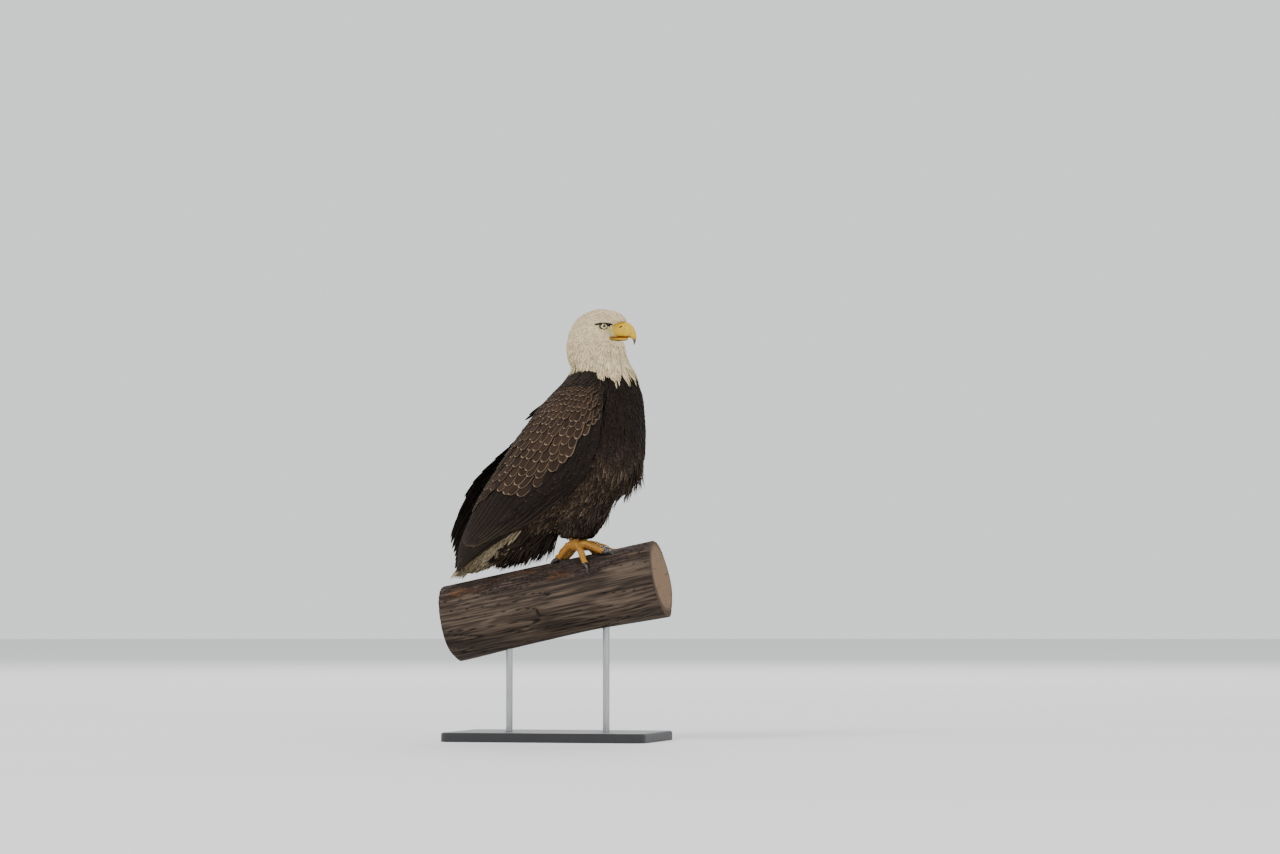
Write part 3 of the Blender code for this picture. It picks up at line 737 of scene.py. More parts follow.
class Sown:
    """Feathers rooted in the skin, all drawn from one random source."""

    def __init__(self, tree, rng, points):
        self.tree = tree
        self.rng = rng
        self.roots, self.ups = settle(tree, points)

    def keep(self, which):
        """Leave out the other feathers."""
        self.roots, self.ups = self.roots[which], self.ups[which]

    def vary(self, low, high):
        """A value between two limits for each feather."""
        return self.rng.uniform(low, high, len(self.roots))

    def shade(self, middle, spread, less=0.0):
        """A value round a middle for each feather, kept between 0 and 1."""
        return np.clip(self.rng.normal(middle, spread, len(self.roots)) - less, 0.0, 1.0)

    def lie(self, ahead, spread):
        """Lay the feathers in a direction, turned a little within the surface."""
        turn = self.rng.normal(0.0, spread, len(ahead))[:, None]
        across = unit(np.cross(self.ups, ahead))
        self.ahead = unit(ahead * np.cos(turn) + across * np.sin(turn))

    def clump(self, lengths, share, pull):
        """Give lengths and draw neighbours into tufts; returns the distance of each from its tuft's middle."""
        self.lengths = lengths
        leaders = self.rng.choice(len(self.roots), max(int(len(self.roots) * share), 2), replace=False)
        middles = self.roots[leaders]
        ends = middles + self.ahead[leaders] * (lengths[leaders] * 1.15)[:, None]
        nearest = np.empty(len(self.roots), int)
        for start in range(0, len(self.roots), TUFT_BATCH):
            gaps = np.linalg.norm(self.roots[start : start + TUFT_BATCH, None] - middles[None], axis=2)
            nearest[start : start + TUFT_BATCH] = gaps.argmin(axis=1)
        toward = unit(ends[nearest] - self.roots)
        self.ahead = unit(self.ahead * (1.0 - pull) + toward * pull)
        gap = np.linalg.norm(self.roots - middles[nearest], axis=1)
        return np.clip(gap / (np.percentile(gap, 95) + 1e-6), 0.0, 1.0)

    def add_to(self, blades, halves, outline, lift, coat, root_uv, curl=1.4, **more):
        """Lay the feathers along the skin and add them to a piece."""
        spines, ups = walk(self.tree, self.roots, self.ahead, self.lengths, outline, lift, curl)
        blades.add(spines, ups, halves, outline, SLIM, coat, root_uv, **more)


# --- Markings: white head, neck and tail; brown body. Shared by skin and coat ---
def white_edge(angle):
    """Place along the body where the roots of the white neck feathers end."""
    degrees = np.degrees(from_back(angle))
    return np.interp(degrees, (0, 40, 75, 95, 110, 128, 150, 180), (7.75, 7.85, 7.95, 8.15, 8.25, 8.65, 8.2, 7.55))


def body_coat(place, angle, rng):
    """Pigment of body feathers: white share, tone, pale edge, warmth of the brown."""
    turn = from_back(angle)
    jag = 0.4 * np.sin(angle * 9.0) * np.sin(angle * 5.0 + 1.0) + 0.16 * np.sin(angle * 23.0)
    jag += rng.normal(0.0, 0.14, len(place))
    white = (place < white_edge(angle) + jag).astype(float)
    belly = smooth(10.9, 12.4, place) * smooth(1.35, 2.0, turn)
    tone = np.clip(rng.normal(0.42, 0.14, len(place)), 0.05, 1.0)
    patch = 0.5 + 0.5 * np.sin(place * 5.1 + 2.0 * np.sin(angle * 4.0)) * np.sin(angle * 9.0 + place)
    warm = np.clip(0.05 + belly * (0.24 + 0.42 * patch) * rng.uniform(0.5, 1.0, len(place)), 0, 1)
    edge = np.clip(belly * (0.12 + 0.55 * patch) * rng.uniform(0.0, 1.0, len(place)) + 0.03, 0.0, 1.0)
    edge = np.where(white > 0.5, rng.uniform(0.0, 0.25, len(place)), edge)
    tone = np.where(white > 0.5, np.clip(rng.normal(0.5, 0.13, len(place)), 0.1, 0.9), tone)
    return np.stack([white, tone, edge, warm], -1)


# --- Materials ---
def linear(text):
    """Linear colour of an sRGB hex value."""
    found = []
    for start in (0, 2, 4):
        value = int(text[start : start + 2], 16) / 255.0
        found.append(value / 12.92 if value <= 0.04045 else ((value + 0.055) / 1.055) ** 2.4)
    return (*found, 1.0)


def add(tree, kind, inputs=None, **settings):
    """New node with its settings; an input may be a value or another node's output."""
    node = tree.nodes.new(kind)
    for key, value in settings.items():
        setattr(node, key, value)
    for key, value in (inputs or {}).items():
        if isinstance(value, bpy.types.NodeSocket):
            tree.links.new(value, node.inputs[key])
        else:
            node.inputs[key].default_value = value
    return node


def new_material(name, roughness, specular=0.5, **more):
    """Material with a Principled shader whose even values sit on its own sockets."""
    made = bpy.data.materials.new(name)
    made.use_nodes = True
    tree = made.node_tree
    shader = tree.nodes["Principled BSDF"]
    shader.inputs["Roughness"].default_value = roughness
    shader.inputs["Specular IOR Level"].default_value = specular
    for key, value in more.items():
        shader.inputs[key.replace("_", " ").title()].default_value = value
    return made, tree


def math_node(tree, operation, first, second=0.0):
    """Output of one calculation."""
    return add(tree, "ShaderNodeMath", {0: first, 1: second}, operation=operation).outputs[0]


def times(tree, first, second):
    """Output of a product."""
    return math_node(tree, "MULTIPLY", first, second)


def plus(tree, first, second):
    """Output of a sum."""
    return math_node(tree, "ADD", first, second)


def own_place(tree):
    """Output of a point's place on the finished model."""
    return add(tree, "ShaderNodeTexCoord").outputs["Object"]


def markings(tree, name):
    """The four outputs of a colour attribute."""
    found = add(tree, "ShaderNodeAttribute", attribute_name=name, attribute_type="GEOMETRY")
    parts = add(tree, "ShaderNodeSeparateColor", {"Color": found.outputs["Color"]})
    return (*parts.outputs, found.outputs["Alpha"])


def ramp(tree, value, low, high, to_low=0.0, to_high=1.0):
    """Value stretched smoothly between two limits."""
    node = add(
        tree,
        "ShaderNodeMapRange",
        {"Value": value, "From Min": low, "From Max": high, "To Min": to_low, "To Max": to_high},
        interpolation_type="SMOOTHSTEP",
    )
    return node.outputs[0]


def mixed(tree, factor, first, second, blend="MIX"):
    """Output of two colours mixed, each an output or a hex value; a tuple as factor is what ramp takes."""
    if isinstance(factor, tuple):
        factor = ramp(tree, *factor)
    node = add(tree, "ShaderNodeMix", {"Factor": factor}, data_type="RGBA", blend_type=blend)
    for key, value in ((6, first), (7, second)):
        if isinstance(value, bpy.types.NodeSocket):
            tree.links.new(value, node.inputs[key])
        else:
            node.inputs[key].default_value = linear(value)
    return node.outputs[2]


def layered(tree, colour, *layers):
    """Output of a colour with others over it, given as factor, colour, factor, colour and so on."""
    for factor, over in zip(layers[::2], layers[1::2]):
        colour = mixed(tree, factor, colour, over)
    return colour


def noise(tree, coords, scale, detail=3.0, stretch=None):
    """Output of a noise pattern, stretched if asked."""
    if stretch:
        coords = add(tree, "ShaderNodeMapping", {"Vector": coords, "Scale": stretch}).outputs[0]
    return add(tree, "ShaderNodeTexNoise", {"Vector": coords, "Scale": scale, "Detail": detail}).outputs["Fac"]


def dressed(made, colour, height=None, strength=0.0, distance=0.0):
    """The material with its colour and fine relief on its shader."""
    tree = made.node_tree
    shader = tree.nodes["Principled BSDF"]
    tree.links.new(colour, shader.inputs["Base Color"])
    if height is not None:
        node = add(tree, "ShaderNodeBump", {"Height": height, "Strength": strength, "Distance": distance})
        tree.links.new(node.outputs[0], shader.inputs["Normal"])
    return made


def feather_material(coat):
    """Feather keratin, grown in barbs along a shaft: matt, with a soft gloss, brown or white by its pigment; painted
    shade darkens it by each feather's level, and greys the white share of the tail and the feathers under it.

    Barbs are about 0.4 mm apart on the bird and are drawn some 1.5 mm apart, so that they show.
    """
    made, tree = new_material("feather_keratin_grown", 0.72, 0.14)
    white, level, edge, warm = markings(tree, "coat")
    vane = add(tree, "ShaderNodeUVMap", uv_map="vane").outputs[0]
    inward, back, _ = add(tree, "ShaderNodeSeparateXYZ", {"Vector": vane}).outputs
    objects = own_place(tree)
    patchy = noise(tree, objects, 55.0, 2.0)
    fray = times(tree, noise(tree, objects, 420.0, 2.0), 0.12)
    sides = ramp(tree, plus(tree, inward, fray), 0.13, 0.38, 1.0, 0.0)
    tips = ramp(tree, plus(tree, back, times(tree, fray, 0.4)), 0.92, 0.975)
    rim = times(tree, math_node(tree, "MAXIMUM", sides, tips), edge)
    brown = layered(
        tree, coat.dark,
        warm, coat.brown,
        (patchy, 0.4, 0.8, 0.0, 0.25), coat.brown,
        rim, coat.fringe,
    )
    shade = mixed(tree, (patchy, 0.35, 0.8, 0.0, 0.35), coat.white, "c9af82")
    shade = mixed(tree, times(tree, rim, 0.5), shade, "b9a27a")
    colour = mixed(tree, white, brown, shade)
    # Each feather's level: its tone times painted shade, darker at the root and, on some pieces, where tufts part.
    grey = add(tree, "ShaderNodeCombineColor", {0: level, 1: level, 2: level}).outputs[0]
    colour = mixed(tree, 1.0, colour, grey, "MULTIPLY")
    slant = plus(tree, times(tree, back, 26.0), times(tree, inward, 6.0))
    barbs = math_node(tree, "SINE", times(tree, slant, math.tau))
    return dressed(made, colour, times(tree, barbs, ramp(tree, inward, 0.1, 0.45)), 0.25, 0.0003)


def skin_material(coat, bare):
    """Bird skin: downy under the plumage, waxy and pebbled on the feet, thin and grey round the eyes, with a painted
    shadow under the brow.
    """
    depths = (0.004, 0.002, 0.001)
    made, tree = new_material("bird_skin_grown", 0.55, 0.35, subsurface_weight=0.08, subsurface_radius=depths)
    white, foot, face, dark = markings(tree, "coat")
    objects = own_place(tree)
    mottle = noise(tree, objects, 120.0, 4.0)
    down = mixed(tree, white, coat.dark, "c8b691")
    down = mixed(tree, ramp(tree, mottle, 0.3, 0.8, 0.0, 0.3), down, mixed(tree, 0.3, down, "4a3a30"))
    cells = add(tree, "ShaderNodeTexVoronoi", {"Vector": objects, "Scale": 420.0}, feature="DISTANCE_TO_EDGE")
    seams = ramp(tree, cells.outputs["Distance"], 0.0, 0.12)
    yellow = mixed(tree, (mottle, 0.35, 0.75), bare.foot, "a4671f")
    yellow = mixed(tree, seams, "7a4e18", yellow)
    # The dark channel: grey skin round the eyes and the painted shadow under the brow.
    lores = layered(tree, "a89d72", (mottle, 0.35, 0.7), "cdbb62", dark, "2a221c")
    colour = mixed(tree, foot, mixed(tree, face, down, lores), yellow)
    creases = noise(tree, objects, 520.0, 3.0)
    height = plus(tree, times(tree, seams, foot), times(tree, creases, face))
    return dressed(made, colour, height, 0.7, 0.0006)


# --- Skin ---
def coat_depth(place, coat):
    """How far the skin lies under the feather tips, from the crown to the vent."""
    return np.interp(place, (0, 4, 6, 9, 10.5, 16), (0.0022, 0.0024, 0.0032, 0.0062, coat, coat))


def head_shell_points(places, angles, depth):
    """Rings of the body, cut back to the foot of the bill, with cheeks that narrow towards it."""
    place, angle = np.meshgrid(places, angles, indexing="ij")
    share = head_share(place)
    grow = -coat_depth(place, depth)
    points = ring_points(rows_at(BODY, place), angle, grow, HEAD_FRONT_TAPER * share)
    z = points[..., 2]
    limit = 0.105 + 0.014 * (z - 0.9562) / 0.0442
    band = smooth(0.953, 0.958, z) * (1.0 - smooth(0.9985, 1.003, z))
    points[..., 0] -= np.maximum(points[..., 0] - limit, 0.0) * band
    cheek = np.interp(points[..., 0], (0.08, 0.095, 0.108, 0.12), (0.0405, 0.0335, 0.0235, 0.0165))
    over = np.maximum(np.abs(points[..., 1]) - cheek, 0.0) * smooth(0.948, 0.958, z) * (1.0 - smooth(0.997, 1.006, z))
    points[..., 1] -= np.sign(points[..., 1]) * over * 0.9
    return turned(points, share)


def make_skin_shells(depth):
    """Closed shells of all flesh, which overlap."""
    angles = turns(144)
    shells = [grid_mesh("body", head_shell_points(np.linspace(0, 16, 190), angles, depth))]
    face_rows = rows_at(FACE, np.linspace(0, 4, 18))[:, None]
    shells.append(grid_mesh("face", turned(ring_points(face_rows, turns(48)[None], -0.0012))))
    for sign in (-1.0, 1.0):
        fine = rows_at(np.array(BROW) * (1.0, sign, 1.0), np.linspace(0, 5, 24))
        radii = np.interp(np.linspace(0, 1, 24), (0, 0.3, 0.55, 0.8, 1), (0.002, 0.0044, 0.005, 0.004, 0.002))
        shells.append(grid_mesh("brow", turned(tube_rings(fine, radii, 16))))
        shells.append(grid_mesh("orbit", ball_rings(sign, ORBIT_RADIUS, np.linspace(0.89, math.pi - 0.05, 24), 40)))
    for side in FEET:
        share, angle = np.meshgrid(np.linspace(0, 1, 40), turns(48), indexing="ij")
        shells.append(grid_mesh("thigh", thigh_points(side, share, angle, -depth * 0.8)))
        shells.append(merged_copy("foot_" + side))
        shares = np.concatenate([np.linspace(0.04, 0.96, 30), np.linspace(0.96, 0.04, 30)])
        rings = []
        for along in np.linspace(0.03, 1.0, 46):
            front = wing_front(shares)
            last = np.minimum(between(COVERT_END, shares) - 0.35, 4.4)
            place = front + (last - front) * along
            shape = wing_height(place, shares) * (1.0 - 0.5 * smooth(0.75, 1.0, np.full(60, along)))
            outer = np.maximum(shape - 0.0062, 0.0016)
            inside = np.arange(60) >= 30
            rings.append(wing_points(place, wing_angle(place, shares), np.where(inside, -0.001, outer), side))
        shells.append(grid_mesh("wing", rings))
    vent_rows = rows_at(VENT, np.linspace(0, 3.7, 30))[:, None]
    shells.append(grid_mesh("vent", ring_points(vent_rows, angles[None, ::3], -0.008)))
    return shells


def wing_height(place, share):
    """Height of the wing's outer surface over the bed."""
    front = wing_front(share)
    along = np.clip((place - front) / (9.6 - front), 0.0, 1.0)
    edge = np.minimum(np.minimum(share, 1.0 - share) * 7.0, 1.0)
    shape = np.minimum(1.0, 0.3 + 0.7 * edge) * (0.35 + 0.65 * np.minimum(along * 9.0, 1.0))
    return WING_CLEARANCE + between(WING_THICK, place) * shape


class EAGLE_OT_skin(bpy.types.Operator):
    """One closed skin under all plumage, with bare feet and face"""

    bl_idname = "eagle.skin"
    bl_label = "Skin"

    def execute(self, context):
        coat = context.scene.eagle_coat
        shells = make_skin_shells(coat.coat_depth)
        bm = bmesh.new()
        for shell in shells:
            bm.from_mesh(shell.data)
            remove(shell)
        skin = linked_bm("skin", bm)
        remesh = {"mode": "VOXEL", "voxel_size": SKIN_VOXEL, "use_smooth_shade": True}
        applied(skin, REMESH=remesh, SMOOTH={"factor": 0.5, "iterations": SKIN_SMOOTHING})
        paint_skin(skin)
        material = skin_material(coat, context.scene.eagle_bare)
        nodes = ["head", "neck", "trunk", "tail", "tail_coverts"]
        nodes += [part + side for part in ("thigh_", "wing_", "foot_") for side in FEET]
        finished(skin, material, "feathers_brown", *nodes)
        return {"FINISHED"}


def paint_skin(skin):
    """Markings of the skin: white share, bare foot, bare face, and the dark: grey skin round the eyes and a painted
    shadow under the brow.
    """
    mesh = skin.data
    points = vertices_of(mesh)
    z = points[:, 2]
    angle = np.arctan2(points[:, 1], -(points[:, 0] - 0.08))
    edge_z = np.interp(white_edge(angle), np.arange(6, 13), (0.942, 0.921, 0.9, 0.879, 0.831, 0.766, 0.7))
    white = 1.0 - smooth(-0.004, 0.004, edge_z + 0.004 * np.sin(angle * 14.0) - z)
    rump = (points[:, 0] < -0.06) & (z < 0.502 - 0.35 * np.maximum(points[:, 0] + 0.18, 0.0))
    white = np.maximum(white, rump * 0.7)
    foot = np.zeros(len(points))
    for side in FEET:
        pad = pad_of(side)
        near = np.hypot(points[:, 0] - pad[0], points[:, 1] - pad[1]) < 0.11
        foot = np.maximum(foot, near * (1.0 - smooth(-0.002, 0.003, z - ankle_of(side)[2])) * (points[:, 0] > -0.075))
    local = head_frame(points)
    lores = head_gap(local, 0.112, 0.983)
    face = (1.0 - smooth(0.013, 0.018, lores)) * (np.abs(local[:, 1]) > 0.008)
    rim = head_gap(local, EYE_PLACE[0], EYE_PLACE[2])
    face = np.maximum(face, (1.0 - smooth(0.011, 0.0125, rim)) * (np.abs(local[:, 1]) > 0.015)) * (z > 0.95)
    # Painted shadow: a dark band along the line under the brow's ridge.
    line = between(BROW_SHADE, local[:, 0])
    brow = (1.0 - smooth(0.0018, 0.0032, np.abs(local[:, 2] - line))) * smooth(0.076, 0.08, local[:, 0])
    dark = np.maximum(0.95 * (1.0 - smooth(0.0098, 0.0125, rim)), brow * (1.0 - smooth(0.116, 0.122, local[:, 0])))
    dark = dark * (z > 0.95) * (np.abs(local[:, 1]) > 0.008)
    face = np.maximum(face, dark)
    painted(mesh, "coat", white, foot, face, dark)


def skin_tree():
    """Search tree of the finished skin."""
    mesh = bpy.data.objects["skin"].data
    return BVHTree.FromPolygons([v.co for v in mesh.vertices], [p.vertices for p in mesh.polygons])


# --- Small feathers of head, neck, body and legs ---
def crown_points(place, angle):
    """Body points, closed over the crown for places below zero."""
    place = np.asarray(place, float)
    points = body_points(np.maximum(place, 0.0), angle)
    middle = body_points(np.zeros_like(place), np.zeros_like(place))
    middle = (middle + body_points(np.zeros_like(place), np.full_like(place, math.pi))) / 2
    inward = np.clip(-place, 0.0, 1.0)[..., None]
    return points + (middle - points) * inward


def body_unwrap(place, angle, first, last):
    """Place of a feather's root on an unrolled body."""
    u = (np.asarray(angle) % math.tau) / math.tau
    v = (np.asarray(place) - first) / (last - first)
    return np.stack([0.01 + 0.98 * u, 0.01 + 0.98 * np.clip(v, 0.0, 1.0)], -1)


def down_body(place, angle):
    """Direction in which the body's feathers lie."""
    return unit(crown_points(place + 0.08, angle) - crown_points(place, angle))


def head_lie(roots, place, angle):
    """Direction of the head's feathers: away from the bill, then down the neck."""
    bill = turned(np.array((0.132, 0.0, 0.985)))
    away = unit(roots - bill)
    away[:, 2] -= 0.3
    down = down_body(place, angle)
    share = smooth(3.2, 6.2, place)[:, None]
    return unit(away * (1.0 - share) + down * share)


def bare_face(roots):
    """Where no feather grows: eyes, the shaded groove under the brow, lores and the foot of the bill."""
    local = head_frame(roots)
    side = np.abs(local[:, 1])
    eye = head_gap(local, EYE_PLACE[0], EYE_PLACE[2]) < 0.0091
    line = between(BROW_SHADE, local[:, 0])
    groove = (np.abs(local[:, 2] - line) < 0.0024) & (local[:, 0] > 0.08) & (local[:, 0] < 0.117) & (side > 0.012)
    lores = (head_gap(local, 0.114, 0.983) < 0.0085) & (side > 0.008)
    bill = (local[:, 0] > 0.1165) & (local[:, 2] < 0.9985) & (local[:, 2] > 0.958) & (side < 0.0158)
    mouth = (np.abs(local[:, 2] - 0.9635 - (local[:, 0] - 0.11) * 0.05) < 0.0022) & (local[:, 0] > 0.094)
    return (eye & (side > 0.015)) | groove | lores | bill | (mouth & (side > 0.008))


def add_brow_shadow(blades, tree, rng):
    """Dark bristly feathers under the ridge of the brow, and short ones behind the eye, that stand for the brow's
    painted shadow.
    """
    for sign in (-1.0, 1.0):
        x = rng.uniform(0.08, 0.1185, 420)
        line = np.interp(x, (0.07, 0.09, 0.104, 0.12), (0.9932, 0.997, 0.996, 0.9934))
        thick = np.interp(x, (0.08, 0.09, 0.108, 0.119), (0.0006, 0.0014, 0.0016, 0.0006))
        local = np.stack([x, np.full(len(x), 0.028 * sign), line + thick * rng.uniform(-1.0, 1.0, len(x))], -1)
        sown = Sown(tree, rng, turned(local))
        near = np.abs(head_frame(sown.roots)[:, 2] - line) < 0.003
        x, local = x[near], local[near]
        sown.keep(near)
        sown.lie(unit(turned(local + (-0.01, 0.0, -0.0008)) - turned(local)), 0.14)
        sown.lengths = sown.vary(0.004, 0.0068)
        lift = (0.0004, 0.0012 + sown.vary(0, 0.0006))
        # Painted shadow: brown, not white, and low in tone.
        coat = np.zeros((len(x), 4))
        coat[:, 1] = sown.vary(0.0, 0.4)
        coat[:, 3] = sown.vary(0.0, 0.3)
        root_uv = np.stack([0.5 + 0.2 * sign + (x - 0.09) * 3.0, np.full(len(x), 0.2)], -1)
        sown.add_to(blades, sown.vary(0.0005, 0.0009), TINY, lift, coat, root_uv, thick=0.0002, droop=0.1)


def sow_head(tree, rng):
    """Tiny feathers of the face and small ones of crown, cheek and nape."""
    points = vertices_of(bpy.data.objects["skin"].data)
    points = np.repeat(points[points[:, 2] > 0.93], 2, axis=0)
    points = points[rng.uniform(size=len(points)) < 0.8]
    sown = Sown(tree, rng, points + rng.uniform(-0.0016, 0.0016, points.shape))
    heights = body_points(np.linspace(0.0, 6.5, 60), np.full(60, math.pi / 2))[:, 2]
    place = np.interp(-sown.roots[:, 2], -heights, np.linspace(0.0, 6.5, 60))
    angle = np.arctan2(sown.roots[:, 1], -(sown.roots[:, 0] - 0.08)) % math.tau
    keep = ~bare_face(sown.roots) & (place < 6.3 + sown.vary(-0.9, 0.0))
    place, angle = place[keep], angle[keep]
    sown.keep(keep)
    local = head_frame(sown.roots)
    far = smooth(0.012, 0.05, np.linalg.norm(local - (0.122, 0.0, 0.98), axis=1))
    length = (0.0062 + 0.012 * far + 0.006 * smooth(3.5, 6.2, place)) * sown.vary(0.85, 1.2)
    half = (0.001 + 0.0008 * far) * sown.vary(0.8, 1.2)
    ahead = head_lie(sown.roots, place, angle)
    chin = (local[:, 0] > 0.1) & (local[:, 2] < 0.96) & (sown.ups[:, 2] > 0.35)
    below = np.tile((-0.25, 1.0, -0.6), (chin.sum(), 1))
    below[:, 1] = np.sign(local[chin, 1] + 1e-6)
    ahead[chin] = unit(below)
    sown.lie(ahead, 0.1)
    gap = sown.clump(length, 0.08, 0.3)
    lift = (-0.0003, 0.0007 + 0.0009 * far * (1.0 - 0.5 * gap))
    coat = body_coat(place, angle, rng)
    coat[:, 0] = 1.0
    # Painted shade: feathers at a tuft's edge, where the tufts part, are a little darker.
    coat[:, 1] = np.clip(coat[:, 1] - 0.08 * gap + 0.04, 0.0, 1.0)
    blades = Blades()
    sown.add_to(blades, half, TINY, lift, coat, body_unwrap(place, angle, -1, 6.5), thick=0.0002, droop=0.1)
    add_brow_shadow(blades, tree, rng)
    return blades


def sow_neck(tree, rng):
    """Lance-shaped hackles that end in a ragged hem over the breast."""
    gaps = ((4.7, 0.0034), (6.0, 0.0036), (7.5, 0.0043), (9.6, 0.0053))
    place, angle = quincunx(body_points, 4.7, 9.6, gaps, rng)
    coat = body_coat(place, angle, rng)
    sown = Sown(tree, rng, body_points(place, angle))
    grown = smooth(4.8, 8.2, place)
    hem = np.where((coat[:, 0] > 0.5) & (place > 7.2), 1.0, 0.0)
    length = (0.0135 + 0.0285 * grown + 0.006 * hem * sown.vary(-0.5, 1.6)) * sown.vary(0.85, 1.2)
    half = (0.0015 + 0.0017 * grown) * sown.vary(0.8, 1.2)
    sown.lie(down_body(place, angle), 0.11)
    gap = sown.clump(length, 0.055, 0.5)
    rise = 0.002 + 0.0014 * grown + 0.0036 * hem * (1.0 - 0.7 * gap) + sown.vary(0, 0.002)
    # Painted shade: hackles at a tuft's edge, where the tufts part, are darker; all of them are darker towards the
    # lower neck.
    coat[:, 1] = np.clip(coat[:, 1] + 0.08 - (0.34 * gap + 0.14) * (0.3 + 0.7 * grown), 0.0, 1.0)
    blades = Blades()
    root_uv = body_unwrap(place, angle, 4.6, 9.8)
    sown.add_to(blades, half, LANCE, (0.0002 + 0.001 * hem, rise), coat, root_uv, droop=0.18)
    return blades


def under_wing(place, angle):
    """Where the folded wings hide the body."""
    turn = np.degrees(from_back(angle))
    return (place > 10.2) & (turn > 17.0) & (turn < 84.0)


def sow_body(tree, rng, front):
    """Broad soft feathers of the breast, belly, flanks and back."""
    gaps = ((9.0, 0.0062), (10.5, 0.0074), (16.0, 0.0082))
    place, angle = quincunx(body_points, 9.0, 15.95, gaps, rng)
    turn = from_back(angle)
    keep = ~under_wing(place, angle) & ((turn > 1.9) == front)
    place, angle, turn = place[keep], angle[keep], turn[keep]
    coat = body_coat(place, angle, rng)
    coat[:, 0] = 0.0
    sown = Sown(tree, rng, body_points(place, angle))
    belly = smooth(11.2, 13.2, place) * smooth(1.4, 2.2, turn)
    length = (0.034 + 0.006 * belly) * sown.vary(0.85, 1.2)
    half = (0.0066 - 0.0018 * belly) * sown.vary(0.8, 1.15)
    sown.lie(down_body(place, angle), 0.09 + 0.07 * belly)
    gap = sown.clump(length, 0.07, 0.3)
    rise = 0.0042 + 0.0038 * belly * sown.vary(0, 1) + sown.vary(0, 0.001)
    lift = (0.0004, rise * (1.0 - 0.3 * gap))
    blades = Blades()
    sown.add_to(blades, half, SOFT, lift, coat, body_unwrap(place, angle, 8.9, 16.3), thick=0.0005, droop=0.14)
    return blades


def add_ragged_tufts(blades, tree, rng):
    """Loose breast feathers that hang clear of the outline."""
    for place, degrees, out, count in (
        (11.75, 176, 0.016, 24), (12.1, 173, 0.036, 34), (12.6, 168, 0.034, 30), (12.9, 160, 0.024, 22),
        (13.4, 168, 0.026, 26), (14.1, 152, 0.024, 22), (14.3, 172, 0.026, 24), (11.2, 178, 0.008, 12),
    ):
        sign = rng.choice((-1.0, 1.0), count)
        sign[: count * 2 // 3] = -1.0
        at = place + rng.normal(0.0, 0.1, count)
        angle = np.radians(degrees + rng.normal(0.0, 3.5, count)) * sign
        sown = Sown(tree, rng, body_points(at, angle))
        sown.lie(down_body(at, angle), 0.1)
        sown.clump(sown.vary(0.042, 0.066), 0.12, 0.75)
        lift = (0.001, out * sown.vary(0.35, 1.0))
        coat = body_coat(at, angle, rng)
        coat[:, 0] = 0.0
        coat[:, 2:] *= 0.5
        half = sown.vary(0.0024, 0.004)
        sown.add_to(blades, half, LANCE, lift, coat, body_unwrap(at, angle, 8.9, 16.3), curl=1.8)


def sow_thigh(blades, tree, side, rng):
    """Long trousers of the legs, that fall over the foot."""

    def points(place, angle):
        """Points of this thigh, place 0 to 10."""
        return thigh_points(side, place / 10.0, angle)

    place, angle = quincunx(points, 0.6, 9.9, ((0.0, 0.0068), (10.0, 0.005)), rng)
    sown = Sown(tree, rng, points(place, angle))
    sown.lie(np.tile((-0.05, 0.0, -1.0), (len(place), 1)), 0.12)
    low = smooth(5.0, 9.5, place)
    gap = sown.clump((0.036 - 0.01 * low) * sown.vary(0.8, 1.25), 0.07, 0.45)
    half = (0.0048 - 0.002 * low) * sown.vary(0.8, 1.2)
    lift = (0.0004, 0.0036 + sown.vary(0, 0.003) * (1.0 - 0.5 * gap))
    tone = sown.shade(0.38, 0.14)
    warm = sown.shade(0.18, 0.1)
    coat = np.stack([np.zeros(len(place)), tone, np.clip(sown.vary(-0.2, 0.22), 0.0, 1.0), warm], -1)
    half_sheet = 0.0 if side == "right" else 0.5
    root_uv = np.stack([half_sheet + 0.01 + 0.47 * (angle % math.tau) / math.tau, 0.01 + 0.098 * place], -1)
    sown.add_to(blades, half, LANCE, lift, coat, root_uv, thick=0.0005)


def sow_vent(blades, tree, rng):
    """Long soft white coverts below the tail, greyed and darkened with painted shade."""

    def points(place, angle):
        """Points under the tail."""
        return ring_points(rows_at(VENT, place), angle, 0.0)

    place, angle = quincunx(points, 0.03, 3.9, ((0.0, 0.0068), (4.0, 0.0054)), rng)
    sown = Sown(tree, rng, points(place, angle))
    ahead = unit(points(place + 0.06, angle) - points(place - 0.02, angle))
    sown.lie(unit(ahead + np.array((-0.15, 0.0, -0.22))), 0.11)
    gap = sown.clump((0.048 - 0.016 * smooth(1.5, 3.9, place)) * sown.vary(0.8, 1.15), 0.06, 0.45)
    half = 0.0046 * sown.vary(0.75, 1.15)
    lift = (0.0004, 0.007 + sown.vary(0, 0.0045))
    turn = from_back(angle)
    dark = (place < 1.15 + 0.35 * np.sin(angle * 6.0) + rng.normal(0, 0.15, len(place))) & (turn > 1.8)
    dark |= (turn > 2.4) & (place < 1.9)
    # Painted shade: the white coverts are only part white, greyed with brown and low in tone, for the shade they hang
    # in; they are darker still where tufts part.
    tone = sown.shade(0.25, 0.16, 0.15 * gap)
    edge = sown.vary(0.0, 0.6)
    white = np.where(dark, 0.0, sown.vary(0.3, 0.62))
    coat = np.stack([white, tone, np.where(dark, 0.1, edge), np.full(len(place), 0.4)], -1)
    sown.add_to(blades, half, LANCE, lift, coat, body_unwrap(place, angle, -0.1, 4.0), thick=0.0005)


